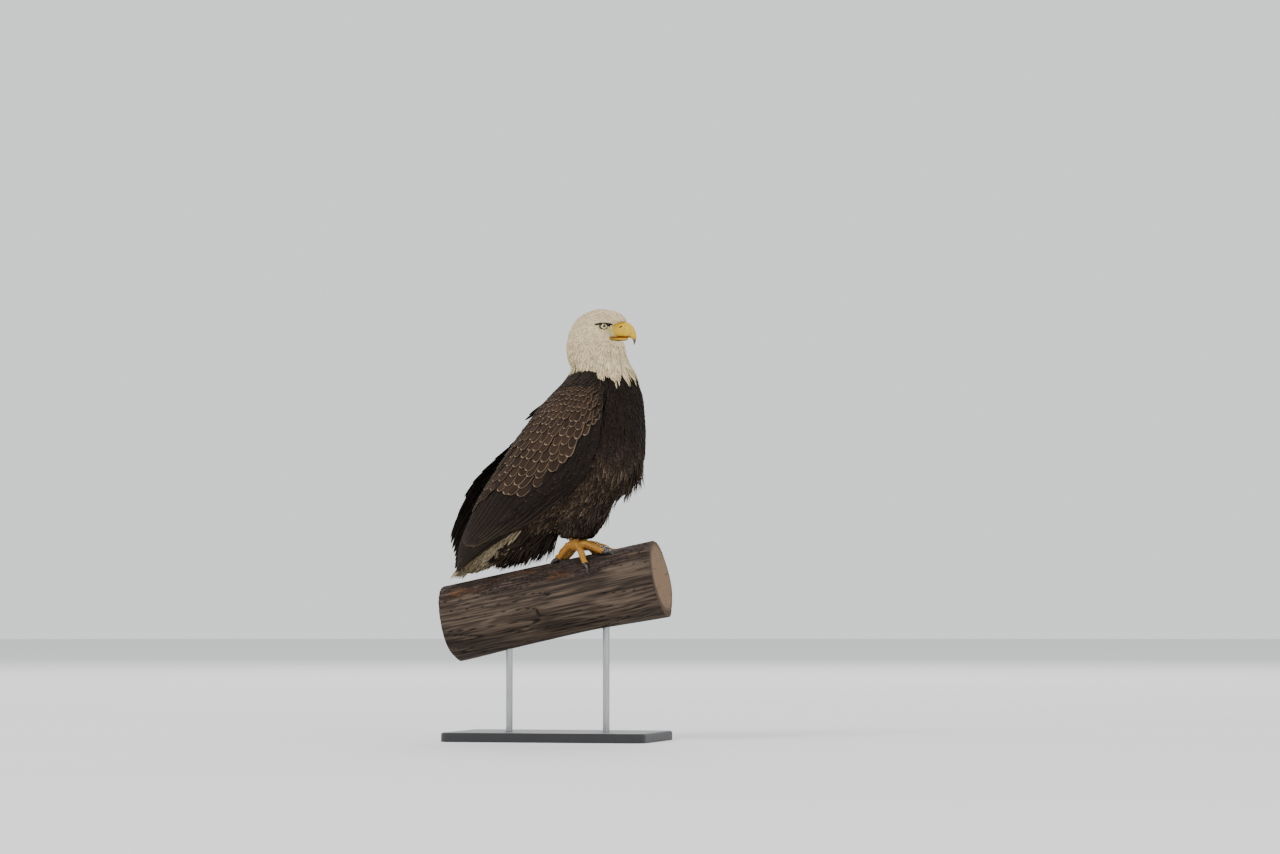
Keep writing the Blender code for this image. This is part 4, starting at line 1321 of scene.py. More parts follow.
def sow_hanging(blades, tree, rng):
    """Long dark feathers behind the legs, that hang down towards the log."""
    count = 760
    place = rng.uniform(0.0, 1.75, count) ** 1.15
    lean = np.clip(rng.normal(0.0, 0.5, count), -1.1, 1.1)
    angle = math.pi + lean
    sown = Sown(tree, rng, ring_points(rows_at(VENT, place), angle, 0.0))
    sown.lie(np.tile((-0.7, 0.0, -0.7), (count, 1)), 0.16)
    gap = sown.clump(sown.vary(0.046, 0.07), 0.06, 0.55)
    lift = (0.0006, (0.058 - 0.016 * place) * sown.vary(0.1, 1.0) * np.cos(lean) ** 2)
    # Painted shade: darker where tufts part.
    tone = sown.shade(0.32, 0.14, 0.12 * gap)
    coat = np.stack([np.zeros(count), tone, sown.vary(0.0, 0.14), sown.vary(0.0, 0.25)], -1)
    half = sown.vary(0.0038, 0.0062)
    root_uv = body_unwrap(place, angle, -0.1, 4.0)
    sown.add_to(blades, half, LANCE, lift, coat, root_uv, curl=1.15, thick=0.0005)


class EAGLE_OT_small_feathers(bpy.types.Operator):
    """Small feathers of the head, neck, body, legs and under-tail"""

    bl_idname = "eagle.small_feathers"
    bl_label = "Small feathers"

    def execute(self, context):
        rng = np.random.default_rng(context.scene.eagle_coat.seed)
        tree = skin_tree()
        material = feather_material(context.scene.eagle_coat)
        finished(sow_head(tree, rng).build("feathers_head"), material, "feathers_white")
        finished(sow_neck(tree, rng).build("feathers_neck"), material, "feathers_white")
        breast = sow_body(tree, rng, True)
        add_ragged_tufts(breast, tree, rng)
        finished(breast.build("feathers_breast"), material, "feathers_brown")
        finished(sow_body(tree, rng, False).build("feathers_back"), material, "feathers_brown")
        legs = Blades()
        for side in FEET:
            sow_thigh(legs, tree, side, rng)
        finished(legs.build("feathers_legs"), material, "feathers_brown")
        vent = Blades()
        sow_vent(vent, tree, rng)
        sow_hanging(vent, tree, rng)
        finished(vent.build("feathers_vent"), material, "feathers_white")
        return {"FINISHED"}


# --- Wings and tail ---
class WingSheet:
    """Distances along a wing's bed, to lay feathers of a real length."""

    def __init__(self, side):
        self.side = side
        self.places = np.linspace(0.0, 11.0, 265)
        place, share = np.meshgrid(self.places, np.linspace(0.0, 1.0, 21), indexing="ij")
        sheet = wing_points(place, wing_angle(place, share), 0.012, side)
        steps = np.linalg.norm(np.diff(sheet, axis=0), axis=2)
        self.along = np.vstack([np.zeros(21), np.cumsum(steps, axis=0)])

    def column(self, share):
        """Distances along the bed at one share."""
        at = np.clip(share, 0.0, 1.0) * 20
        low = min(int(at), 19)
        return self.along[:, low] * (1 - at + low) + self.along[:, low + 1] * (at - low)

    def spine(self, tip, share, length, outline, heights, sweep=0.0, tilt=0.0):
        """Middle line of one feather that ends at a place along the bed, and its outward directions.

        Heights are counted from the wing's outer surface; a tilt lifts the edge nearest the wing's lower border.
        """
        along = self.column(share)
        end = np.interp(tip, self.places, along)
        shares = np.asarray(outline, float)[:, 0]
        place = np.interp(end - length * (1.0 - shares), along, self.places)
        at = share + sweep * (1.0 - shares)
        angle = wing_angle(place, at)
        grow = heights[0] + (heights[1] - heights[0]) * shares + wing_height(place, np.clip(share, 0.0, 1.0))
        points = wing_points(place, angle, grow, self.side)
        outer = unit(wing_points(place, angle, grow + 0.01, self.side) - points)
        lower = unit(wing_points(place, angle + 0.02, grow, self.side) - points)
        return points, unit(outer - lower * tilt)

    def feather(self, tip, share, length, outline, heights, coat, half, **more):
        """One feather for gather: line, directions, half width, coat and place on the unrolled wing."""
        points, ups = self.spine(tip, share, length, outline, heights, **more)
        return points, ups, half, coat, self.spot(tip, share)

    def spot(self, tip, share):
        """Place of a feather on the unrolled wing."""
        return (0.02 + 0.96 * float(np.clip(share, 0, 1)), 0.02 + 0.96 * float(np.clip(tip / 11.2, 0, 1)))


def gather(blades, feathers, outline, section, **more):
    """Add a list of (points, ups, half width, coat, root place on the sheet) to the piece."""
    spines, ups, halves, coats, roots = (np.array(column) for column in zip(*feathers))
    blades.add(spines, ups, halves, outline, section, coats, roots, **more)


def flight_feathers(sheet, rng):
    """Primaries below, secondaries over them and tertials on top, each over the next one below it."""
    found = []
    for index, tip in enumerate(WING_TIPS):
        share = (index + 0.5) / len(WING_TIPS)
        level = -0.0042 + 0.0002 * (len(WING_TIPS) - index)
        coat = (0.0, rng.uniform(0.25, 0.4), 0.16, 0.06)
        found.append(sheet.feather(tip, share, 0.3, QUILL, (-0.0075, level), coat, 0.0135, tilt=0.07))
    count = 15
    for index in range(count):
        share = (index + 0.6) / count
        tip = 7.2 + 1.0 * share + 0.55 * math.sin(share * math.pi) + rng.uniform(-0.06, 0.06)
        if share > 0.8:
            tip -= (share - 0.8) * 6.0
        coat = (0.0, rng.uniform(0.2, 0.38), rng.uniform(0.2, 0.42), 0.08)
        half = rng.uniform(0.0115, 0.013)
        found.append(sheet.feather(tip, share, 0.22, QUILL, (-0.0062, -0.002), coat, half, sweep=0.02, tilt=0.1))
    for index in range(7):
        share = 0.02 + index * 0.052
        tip = 6.65 - 0.24 * index + rng.uniform(-0.1, 0.1)
        coat = (0.0, rng.uniform(0.25, 0.4), 0.26, 0.2 if index > 1 else 0.05)
        found.append(sheet.feather(tip, share, 0.15, QUILL, (-0.005, -0.0002), coat, 0.0125, sweep=0.01, tilt=0.1))
    return found


def covert_rows(sheet, rng):
    """Shingled coverts, tiny and mottled at the shoulder and broad at the lower rows, with thin pale edges."""
    found = []
    steps = np.interp(np.linspace(0, 1, COVERT_ROWS), (0, 0.35, 1), (0.55, 0.85, 1.45))
    ends = np.cumsum(steps) / steps.sum()
    for row in range(COVERT_ROWS):
        growth = row / (COVERT_ROWS - 1)
        count = int(round(np.interp(growth, (0, 0.4, 1), (19, 13, 9))))
        for index in range(count + 1):
            share = 0.16 + 0.86 * (index + 0.5 * (row % 2)) / count + rng.uniform(-0.22, 0.22) / count
            if not 0.15 <= share <= 1.02:
                continue
            front = float(wing_front(np.clip(share, 0.0, 1.0))) + 0.3
            end = float(between(COVERT_SPAN, share))
            before = ends[row - 1] if row else 0.0
            along = sheet.column(share)
            tip = front + (end - front) * ends[row]
            if tip > float(between(COVERT_END, share)) + 0.16:
                continue
            visible = np.interp(tip, sheet.places, along)
            visible -= np.interp(front + (end - front) * before, sheet.places, along)
            tip += rng.uniform(-0.22, 0.22) * (end - front) * (ends[row] - before)
            length = max(visible * 2.3, 0.022) * rng.uniform(0.9, 1.15)
            half = float(np.interp(growth, (0, 0.45, 1), (0.0058, 0.0088, 0.0138)))
            half = min(half, max(visible * 0.95, 0.0058)) * rng.uniform(0.9, 1.12)
            sweep = rng.uniform(-0.02, 0.02)
            faint = np.interp(growth, (0, 0.25, 0.5, 1), (0.3, 0.5, 0.9, 1.0))
            edge = faint * rng.uniform(0.6, 1.0) * (0.45 + 0.55 * float(smooth(0.17, 0.36, share)))
            tone = float(np.clip(rng.normal(0.42, 0.15), 0.1, 1.0))
            warm = 0.42 + 0.24 * smooth(0.16, 0.34, share) - 0.25 * (share > 0.95)
            coat = (0.0, tone, edge, float(np.clip(rng.normal(warm, 0.15), 0.0, 1.0)))
            heights = (-0.0056, 0.0008)
            found.append(sheet.feather(tip, share, length, SCALE, heights, coat, half, sweep=sweep, tilt=0.06))
    return found


def scapulars(sheet, rng):
    """Long soft dark shoulder feathers along the back, over the wing's upper edge and its shoulder."""
    found = []

    def lay(tip, share, length, half, warm, rim=0.0):
        """Add one shoulder feather."""
        tone = float(np.clip(rng.normal(0.32, 0.1), 0, 1))
        coat = (0.0, tone, rng.uniform(0.0, 0.16) + rim * rng.uniform(0.3, 1.3), warm)
        found.append(sheet.feather(tip, share, length, SCALE, (-0.003, 0.002), coat, half, tilt=0.06))

    for share in np.arange(0.16, 1.02, 0.045):
        front = float(wing_front(share))
        for step in (0.1, 0.24, 0.38):
            lay(front + step + rng.uniform(-0.05, 0.05), share + rng.uniform(-0.015, 0.015), 0.026, 0.0062, 0.12)
    for row in range(17):
        for index in range(7):
            share = -0.06 + 0.038 * index + rng.uniform(-0.01, 0.01) + 0.018 * (row % 2)
            tip = 1.05 + 0.29 * row + 0.05 * index + rng.uniform(-0.08, 0.08)
            outward = max(index - 2, 0)
            length = 0.056 * rng.uniform(0.9, 1.15)
            lay(tip, share, length, 0.0082, rng.uniform(0.05, 0.15) + 0.07 * outward, 0.1 * outward)
    return found


def low_edge_feathers(sheet, rng):
    """Nearly black feathers between the coverts and the wing's lower edge, wrapped over that edge: dark brown of their
    own, made darker with painted shade on the wing's lower part.
    """
    found = []
    for column, share in enumerate((0.74, 0.79, 0.84, 0.88, 0.92, 0.96, 1.0, 1.035)):
        tip = float(between(COVERT_END, share)) + 0.1 + 0.17 * (column % 2)
        while tip < 6.9 - 0.25 * column:
            at = share + rng.uniform(-0.012, 0.012)
            length = rng.uniform(0.05, 0.064)
            # Painted shade: low tone and almost no pale edge, on top of their own dark brown.
            coat = (0.0, rng.uniform(0.0, 0.2), rng.uniform(0.0, 0.14), rng.uniform(0.0, 0.08))
            laid = sheet.feather(tip, at, length, SCALE, (-0.005, -0.0006), coat, 0.0088, tilt=0.04)
            found.append((*laid[:4], sheet.spot(tip, share)))
            tip += 0.3 + rng.uniform(-0.04, 0.04)
    return found


class EAGLE_OT_wings(bpy.types.Operator):
    """Folded wings: flight feathers, coverts and shoulder feathers"""

    bl_idname = "eagle.wings"
    bl_label = "Wings"

    def execute(self, context):
        rng = np.random.default_rng(context.scene.eagle_coat.seed + 1)
        material = bpy.data.materials["feather_keratin_grown"]
        small = {"patch": 0.012, "thick": 0.0006}
        for side in FEET:
            sheet = WingSheet(side)
            blades = Blades()
            gather(blades, flight_feathers(sheet, rng), QUILL, BROAD, patch=0.02, thick=0.0008, droop=0.05)
            gather(blades, low_edge_feathers(sheet, rng), SCALE, BROAD, **small, droop=0.12)
            gather(blades, covert_rows(sheet, rng), SCALE, BROAD, **small, droop=0.12)
            gather(blades, scapulars(sheet, rng), SCALE, BROAD, **small, droop=0.16)
            if side == "left":
                place, grow = (np.array(column) for column in zip(*STRAY_FEATHER))
                stray = []
                for turn, reach in ((0.0, 1.0), (-3.5, 0.84), (3.5, 0.76)):
                    at = np.interp(np.asarray(SCALE)[:, 0] * reach, np.linspace(0, 1, 4), place)
                    height = np.interp(at, place, grow)
                    angle = np.full(len(at), math.radians(STRAY_ANGLE + turn))
                    points = wing_points(at, angle, height, side)
                    ups = unit(wing_points(at, angle, height + 0.01, side) - points)
                    stray.append((points, ups, 0.0085, (0.0, 0.3, 0.1, 0.08), (0.99, 0.99)))
                gather(blades, stray, SCALE, BROAD, patch=0.012, thick=0.0009)
            finished(blades.build("wing_feathers_" + side), material, "feathers_brown")
        return {"FINISHED"}


class EAGLE_OT_tail(bpy.types.Operator):
    """Folded tail of twelve feathers with its upper coverts"""

    bl_idname = "eagle.tail"
    bl_label = "Tail"

    def execute(self, context):
        rng = np.random.default_rng(context.scene.eagle_coat.seed + 2)
        material = bpy.data.materials["feather_keratin_grown"]
        root, tip = np.array(TAIL_ROOT), np.array(TAIL_TIP)
        run = np.linalg.norm(tip - root)
        along = (tip - root) / run
        up = np.array((along[2], 0.0, -along[0]))
        up = up if up[0] < 0 else -up
        shares = np.asarray(QUILL, float)[:, 0]

        def lay(reach, level, aside, tilt):
            """Middle line and outward directions of one tail feather."""
            middle = root + along * reach[:, None] + up * level[:, None]
            middle[:, 1] += aside
            return middle, np.tile(unit(up + np.array((0.0, tilt, 0.0))), (len(reach), 1))

        feathers = []
        order = sorted(range(TAIL_FEATHERS), key=lambda i: -abs(i - 5.5))
        for rank, index in enumerate(order):
            across = (2.0 * index + 1.0) / TAIL_FEATHERS - 1.0
            reach = run * (1.0 - 0.05 * across * across) + 0.001
            half = TAIL_HALF_ROOT + (TAIL_HALF_TIP - TAIL_HALF_ROOT) * shares
            level = -TAIL_ARCH * across * across + 0.0022 * (rank / 11.0 - 0.5) * (1.2 - shares)
            middle, ups = lay(reach * shares, level, half * across * 0.9, across * 0.3)
            # Painted shade: the white tail feathers are only part white, greyed with brown and low in tone, for the
            # tail in shade.
            coat = (rng.uniform(0.62, 0.8), rng.uniform(0.1, 0.4), 0.5, 0.5)
            feathers.append((middle, ups, 0.0125, coat, (0.05 + 0.9 * index / 11.0, 0.3)))
        blades = Blades()
        gather(blades, feathers, QUILL, BROAD, patch=0.05, thick=0.0009, droop=0.06)
        coverts = []
        shares = np.asarray(SCALE, float)[:, 0]
        for row in range(5):
            for index in range(9):
                across = (index + 0.5 * (row % 2)) / 4.5 - 1.0 + rng.uniform(-0.04, 0.04)
                if abs(across) > 1.0:
                    continue
                reach = run * (0.02 + 0.09 * row) + 0.05 * shares
                level = -TAIL_ARCH * across * across + 0.004 + 0.003 * shares
                middle, ups = lay(reach, level, (TAIL_HALF_ROOT + 0.004) * across, across * 0.35)
                # Painted shade: the white coverts are greyed and darkened the same way.
                coat = (rng.uniform(0.7, 0.92), rng.uniform(0.1, 0.5), 0.5, 0.5)
                coverts.append((middle, ups, 0.0085, coat, (0.05 + 0.45 * (across + 1.0), 0.55 + 0.08 * row)))
        gather(blades, coverts, SCALE, BROAD, patch=0.02, thick=0.0007)
        finished(blades.build("tail_feathers"), material, "feathers_white")
        return {"FINISHED"}


# --- Eyes and bill ---
def eye_material(bare):
    """Living eye: wet clear cornea over a pale, finely rayed iris and a black pupil."""
    made, tree = new_material("eye_cornea_wet", 0.1, 0.35, coat_weight=0.35, coat_roughness=0.02)
    vector = add(tree, "ShaderNodeUVMap", uv_map="round").outputs[0]
    place = add(tree, "ShaderNodeSeparateXYZ", {"Vector": vector}).outputs
    edge = math.asin(bare.pupil / EYE_RADIUS) / math.pi
    rays = noise(tree, vector, 1.0, 2.0, stretch=(60.0, 6.0, 1.0))
    iris = mixed(tree, (rays, 0.35, 0.7), bare.iris, "a8965e")
    iris = mixed(tree, (place[1], edge + 0.01, edge + 0.05), "b3a46c", iris)
    colour = layered(
        tree, "050404",
        (place[1], edge - 0.006, edge + 0.004), iris,
        (place[1], 0.205, 0.235), "1c1612",
    )
    return dressed(made, colour)


def lid_material():
    """Bare eyelid skin: thin, dark grey, finely creased."""
    made, tree = new_material("eyelid_skin_creased", 0.5, 0.4)
    fine = noise(tree, own_place(tree), 700.0, 3.0)
    colour = mixed(tree, fine, "0f0c0a", "2c2520")
    return dressed(made, colour, fine, 0.5, 0.0004)


def gaze_frame(sign):
    """Centre of an eye, and its outward, forward and upward directions, in the head's own frame."""
    centre = np.array(EYE_PLACE) * (1.0, sign, 1.0)
    out = unit(np.array((math.cos(EYE_LOOK), sign * math.sin(EYE_LOOK), 0.03)))
    upward = unit(np.array((0.0, 0.0, 1.0)) - out * out[2])
    forward = np.cross(upward, out) * sign
    return centre, out, forward, upward


def ball_rings(sign, radius, polar, count):
    """Rings of a ball round an eye's centre, counted from where it looks."""
    centre, out, forward, upward = gaze_frame(sign)
    turn = turns(count)[None, :, None]
    radius = np.broadcast_to(radius, polar.shape)[:, None, None]
    polar = polar[:, None, None]
    flat = forward * np.cos(turn) + upward * np.sin(turn)
    return turned(centre + radius * (out * np.cos(polar) + flat * np.sin(polar)))


class EAGLE_OT_eyes(bpy.types.Operator):
    """Eyeballs with pupil and iris, and their lids"""

    bl_idname = "eagle.eyes"
    bl_label = "Eyes"

    def execute(self, context):
        material = eye_material(context.scene.eagle_bare)
        lids = bmesh.new()
        for name, sign in (("right", -1.0), ("left", 1.0)):
            centre, out, forward, upward = gaze_frame(sign)
            polar = np.linspace(0.02, math.pi - 0.02, 40)
            domed = EYE_RADIUS + 0.0005 * np.exp(-((polar / 0.55) ** 2))
            eye = grid_mesh("eyeball_" + name, ball_rings(sign, domed, polar, 48))
            finished(eye, material, "eye_glass", "eye_" + name)
            turn = turns(LID_SIDES)
            opening = 0.7 - 0.16 * np.maximum(np.sin(turn), 0.0) ** 2 + 0.09 * np.maximum(np.cos(turn), 0.0) ** 4
            rings = []
            for step in range(LID_RINGS):
                around = math.tau * step / LID_RINGS
                polar = opening + LID_THICK * math.cos(around) / EYE_RADIUS
                radius = EYE_RADIUS + 0.0002 + LID_THICK * 0.9 * math.sin(around)
                flat = forward * np.cos(turn)[:, None] + upward * np.sin(turn)[:, None]
                rings.append(centre + (out * np.cos(polar)[:, None] + flat * np.sin(polar)[:, None]) * radius)
            rings = turned(np.array(rings))
            rows = [[lids.verts.new(point) for point in ring] for ring in rings]
            for ring, outer in zip(rows, rows[1:] + rows[:1]):
                for k in range(LID_SIDES):
                    after = (k + 1) % LID_SIDES
                    lids.faces.new((ring[k], ring[after], outer[after], outer[k]))
        bmesh.ops.recalc_face_normals(lids, faces=lids.faces[:])
        obj = linked_bm("eyelids", lids)
        smooth_shaded(obj.data)
        finished(obj, lid_material(), "feathers_brown")
        return {"FINISHED"}


def bill_material(bare):
    """Bill horn and waxy cere: smooth, grown in fine layers, yellow, darker and greyer at the hook, with painted shade
    along the lower bill.
    """
    made, tree = new_material("bill_horn_grown", 0.42, 0.32, coat_weight=0.06, coat_roughness=0.25)
    dark, tip, wax, _ = markings(tree, "horn")
    objects = own_place(tree)
    cloudy = noise(tree, objects, 160.0, 4.0)
    layers = noise(tree, objects, 90.0, 2.0, stretch=(9.0, 2.0, 2.0))
    horn = layered(tree, bare.bill, (cloudy, 0.35, 0.75), "bf9620", (layers, 0.5, 0.8, 0.0, 0.35), "b09c58")
    horn = mixed(tree, wax, horn, mixed(tree, cloudy, "d2ac24", "c0951d"))
    # The tip channel: darker grey at the hook, and painted shade along the lower bill.
    horn = layered(tree, horn, tip, "4b443a", (dark, 0.0, 0.5), "9a5a1c", (dark, 0.5, 1.0), "1c0f06")
    return dressed(made, horn, layers, 0.25, 0.0006)


def bill_part(table, rows, sides):
    """Rings of one part of the bill in the head's own frame, narrower at its top than an oval."""
    stations = rows_at(table, np.linspace(0, len(table) - 1, rows))[:, None]
    points = ring_points(stations, turns(sides)[None], 0.0)
    half = stations[..., 4]
    across = points[..., 1] / half
    points[..., 1] = half * np.sign(across) * np.abs(across) ** 0.85
    return points


def paint_bill(obj):
    """Nostrils, dark hook, painted shade along the lower bill and waxy cere, worked out in the head's own frame."""
    mesh = obj.data
    local = head_frame(vertices_of(mesh))
    x, z = local[:, 0], local[:, 2]
    slit = np.hypot((x - 0.1342) / 0.004, (z - 0.9893 - (x - 0.1342) * 0.45) / 0.0017)
    dark = 1.0 - smooth(0.6, 1.2, slit)
    tip = smooth(0.9665, 0.956, z) * smooth(0.15, 0.158, x)
    # Painted shade: the lower bill, under the upper one, is darker and greyer.
    tip = np.maximum(tip, 0.42 * smooth(0.963, 0.959, z) * smooth(0.104, 0.112, x))
    ridge = smooth(0.9945, 0.9995, z) * smooth(0.14, 0.156, x) * 0.1
    mouth = 1.0 - smooth(0.0008, 0.0042, np.abs(z - 0.9648 - 0.001 * (x > 0.15)))
    mouth = mouth * (1.0 - smooth(0.152, 0.162, x)) * 0.7
    wax = 1.0 - smooth(0.137, 0.1415, x)
    painted(mesh, "horn", np.maximum(dark, mouth), np.maximum(tip, ridge), wax, 1.0)
    points = local.copy()
    points[:, 1] *= 1.0 - 0.22 * dark
    points[:, 1] *= 1.0 + 0.02 * smooth(0.141, 0.136, x) * (z < 0.9995)
    set_vertices(mesh, turned(points))


class EAGLE_OT_bill(bpy.types.Operator):
    """Hooked upper bill, lower bill, cere with nostrils and the corner of the mouth"""

    bl_idname = "eagle.bill"
    bl_label = "Bill"

    def execute(self, context):
        material = bill_material(context.scene.eagle_bare)
        for name, node, table, rows in (
            ("cere_wax", "cere", CERE, 70),
            ("bill_upper_horn", "bill_upper", BILL_UPPER, 110),
            ("bill_lower_horn", "bill_lower", BILL_LOWER, 60),
        ):
            rings = bill_part(table, rows, 220 if node == "cere" else 110)
            x, z = rings[..., 0].copy(), rings[..., 2].copy()
            if node == "bill_lower":
                rings[..., 2] += 0.0016 * smooth(0.96, 0.964, z)
            else:
                bow = np.sin(np.clip((z - BILL_EDGE) / BILL_DEEP, 0.0, 1.0) * math.pi)
                near = smooth(0.126, 0.1403, x) * (1.0 - smooth(0.1405, 0.156, x))
                rings[..., 0] += 0.003 * bow * near
                rings[..., 2] += 0.003 * smooth(0.984, 0.999, z) * (1.0 - smooth(0.148, 0.166, x))
            obj = grid_mesh(name, turned(rings))
            paint_bill(obj)
            finished(obj, material, "bill_yellow", node)
        corners = bmesh.new()
        for sign in (-1.0, 1.0):
            fine = rows_at(np.array(MOUTH_CORNER) * (1.0, sign, 1.0), np.linspace(0, 4, 50))
            radii = np.interp(np.linspace(0, 1, 50), (0, 0.25, 0.7, 1), (0.0008, 0.0022, 0.0022, 0.0008))
            part = grid_mesh("mouth_corner", turned(tube_rings(fine, radii, 28, flat=0.75)))
            corners.from_mesh(part.data)
            remove(part)
        obj = linked_bm("mouth_corners", corners)
        local = head_frame(vertices_of(obj.data))
        line = 0.9605 + 0.0049 * np.clip((local[:, 0] - 0.0885) / 0.034, 0, 1)
        dark = 0.22 + 0.55 * (1.0 - smooth(0.0002, 0.0013, np.abs(local[:, 2] - line)))
        painted(obj.data, "horn", dark, 0.0, 1.0, 1.0)
        finished(obj, material, "bill_yellow")
        return {"FINISHED"}


# --- Feet ---
def claw_material():
    """Claw keratin: black horn, grown in a smooth glossy sheath with faint lengthwise lines."""
    made, tree = new_material("claw_keratin_grown", 0.26, 0.5)
    vector = add(tree, "ShaderNodeUVMap", uv_map="round").outputs[0]
    lines = noise(tree, vector, 1.0, 2.0, stretch=(26.0, 1.5, 1.0))
    colour = mixed(tree, lines, "0c0b0b", "3a3431")
    return dressed(made, colour, lines, 0.25, 0.0004)


class EAGLE_OT_claws(bpy.types.Operator):
    """Eight hooked claws"""

    bl_idname = "eagle.claws"
    bl_label = "Claws"

    def execute(self, context):
        material = claw_material()
        for side in FEET:
            for number, (turn, length, root, tip, claw) in enumerate(TOES, 1):
                path, _ = toe_path(side, turn, (length, root, tip), 7)
                direction = unit(path[-1] - path[-2])
                reach = path[-1] - direction * 0.002
                points = [reach]
                reach = path[-1].copy()
                radii = [tip * 0.94]
                for step, bend in enumerate(CLAW_BENDS):
                    points.append(reach)
                    radii.append(tip * 0.96 * (1.0 - step / len(CLAW_BENDS)) ** 0.72)
                    angle = math.radians(bend)
                    move = direction * math.cos(angle) + np.array((0.0, 0.0, 1.0)) * math.sin(angle)
                    reach = reach + move * claw * 1.12 / len(CLAW_BENDS)
                points.append(reach)
                radii.append(0.0004)
                last = len(points) - 1
                fine = rows_at(np.array(points), np.linspace(0, last, 30))
                width = rows_at(np.array(radii)[:, None], np.linspace(0, last, 30))[:, 0]
                obj = grid_mesh(f"talon_{number}_{side}", tube_rings(fine, np.maximum(width, 0.0003), 16))
                finished(obj, material, "claw_black", f"claw_{number}_{side}")
        return {"FINISHED"}


def scute_material(bare):
    """Scute keratin: hard overlapping plates on the toes, waxy yellow, mottled with darker brown."""
    made, tree = new_material("scute_keratin_plated", 0.46, 0.38)
    objects = own_place(tree)
    mottle = noise(tree, objects, 150.0, 4.0)
    broad = noise(tree, objects, 45.0, 2.0)
    colour = layered(
        tree, "b08032",
        (mottle, 0.3, 0.75), bare.foot,
        (broad, 0.45, 0.7, 0.0, 0.7), "865419",
        (mottle, 0.6, 0.8, 0.0, 0.6), "6a4114",
    )
    return dressed(made, colour, mottle, 0.3, 0.0005)


def scute_nodes(material):
    """Tree that lays arched plates across the top of a curve."""
    tree = bpy.data.node_groups.new("scutes_along_toes", "GeometryNodeTree")
    face = tree.interface
    face.new_socket("Toes", in_out="INPUT", socket_type="NodeSocketGeometry")
    spacing = face.new_socket("Spacing", in_out="INPUT", socket_type="NodeSocketFloat")
    height = face.new_socket("Plate height", in_out="INPUT", socket_type="NodeSocketFloat")
    face.new_socket("Plates", in_out="OUTPUT", socket_type="NodeSocketGeometry")
    start = add(tree, "NodeGroupInput")
    spread = add(
        tree, "GeometryNodeResampleCurve",
        {"Curve": start.outputs[0], "Length": start.outputs["Spacing"]}, mode="LENGTH",
    )
    arc = add(
        tree, "GeometryNodeCurveArc",
        {"Resolution": 11, "Radius": 1.0, "Start Angle": math.radians(-88.0), "Sweep Angle": math.radians(176.0)},
    )
    circle = add(tree, "GeometryNodeCurvePrimitiveCircle", {"Resolution": 8, "Radius": 1.0})
    size = add(tree, "ShaderNodeCombineXYZ", {"X": start.outputs["Plate height"], "Y": 0.21, "Z": 1.0})
    profile = add(tree, "GeometryNodeTransform", {"Geometry": circle.outputs[0], "Scale": size.outputs[0]})
    plate = add(
        tree, "GeometryNodeCurveToMesh",
        {"Curve": arc.outputs[0], "Profile Curve": profile.outputs[0], "Fill Caps": True},
    )
    tangent = add(tree, "GeometryNodeInputTangent")
    along = add(tree, "FunctionNodeAlignRotationToVector", {"Vector": tangent.outputs[0]}, axis="Z")
    upward = add(
        tree, "FunctionNodeAlignRotationToVector",
        {"Rotation": along.outputs[0], "Vector": (0.5, 0.0, 0.86)}, axis="X", pivot_axis="Z",
    )
    radius = add(tree, "GeometryNodeInputRadius")
    placed = add(
        tree, "GeometryNodeInstanceOnPoints",
        {
            "Points": spread.outputs[0],
            "Instance": plate.outputs[0],
            "Rotation": upward.outputs[0],
            "Scale": radius.outputs[0],
        },
    )
    real = add(tree, "GeometryNodeRealizeInstances", {"Geometry": placed.outputs[0]})
    covered = add(tree, "GeometryNodeSetMaterial", {"Geometry": real.outputs[0], "Material": material})
    add(tree, "NodeGroupOutput", {"Plates": covered.outputs[0]})
    return tree, spacing.identifier, height.identifier


class EAGLE_OT_scutes(bpy.types.Operator):
    """Horny plates across the toes and shanks"""

    bl_idname = "eagle.scutes"
    bl_label = "Scutes"

    def execute(self, context):
        bare = context.scene.eagle_bare
        material = scute_material(bare)
        curve = bpy.data.curves.new("toe_lines", "CURVE")
        curve.dimensions = "3D"
        for side in FEET:
            lines = []
            for turn, length, root, tip, _ in TOES:
                path, radii = toe_path(side, turn, (length, root, tip), 14)
                lines.append((path[2:], radii[2:] * 1.04))
            pad = pad_of(side)
            shank = np.array([pad + (0.001, 0.0, 0.002), pad + (-0.002, 0.0, 0.012), pad + (-0.006, 0.0, 0.024)])
            lines.append((shank, np.array((0.0118, 0.0104, 0.01))))
            for path, radii in lines:
                spline = curve.splines.new("POLY")
                spline.points.add(len(path) - 1)
                spline.points.foreach_set("co", np.hstack([path, np.ones((len(path), 1))]).ravel())
                spline.points.foreach_set("radius", radii)
        obj = linked("toe_lines", curve)
        tree, spacing, height = scute_nodes(material)
        modifier = obj.modifiers.new("scutes", "NODES")
        modifier.node_group = tree
        modifier[spacing] = bare.scute_gap
        modifier[height] = 0.062
        mesh = evaluated_mesh(obj)
        if len(mesh.polygons) < 1000:
            raise RuntimeError("the scutes did not form")
        remove(obj)
        smooth_shaded(mesh)
        finished(linked("foot_scutes", mesh), material, "foot_skin")
        return {"FINISHED"}


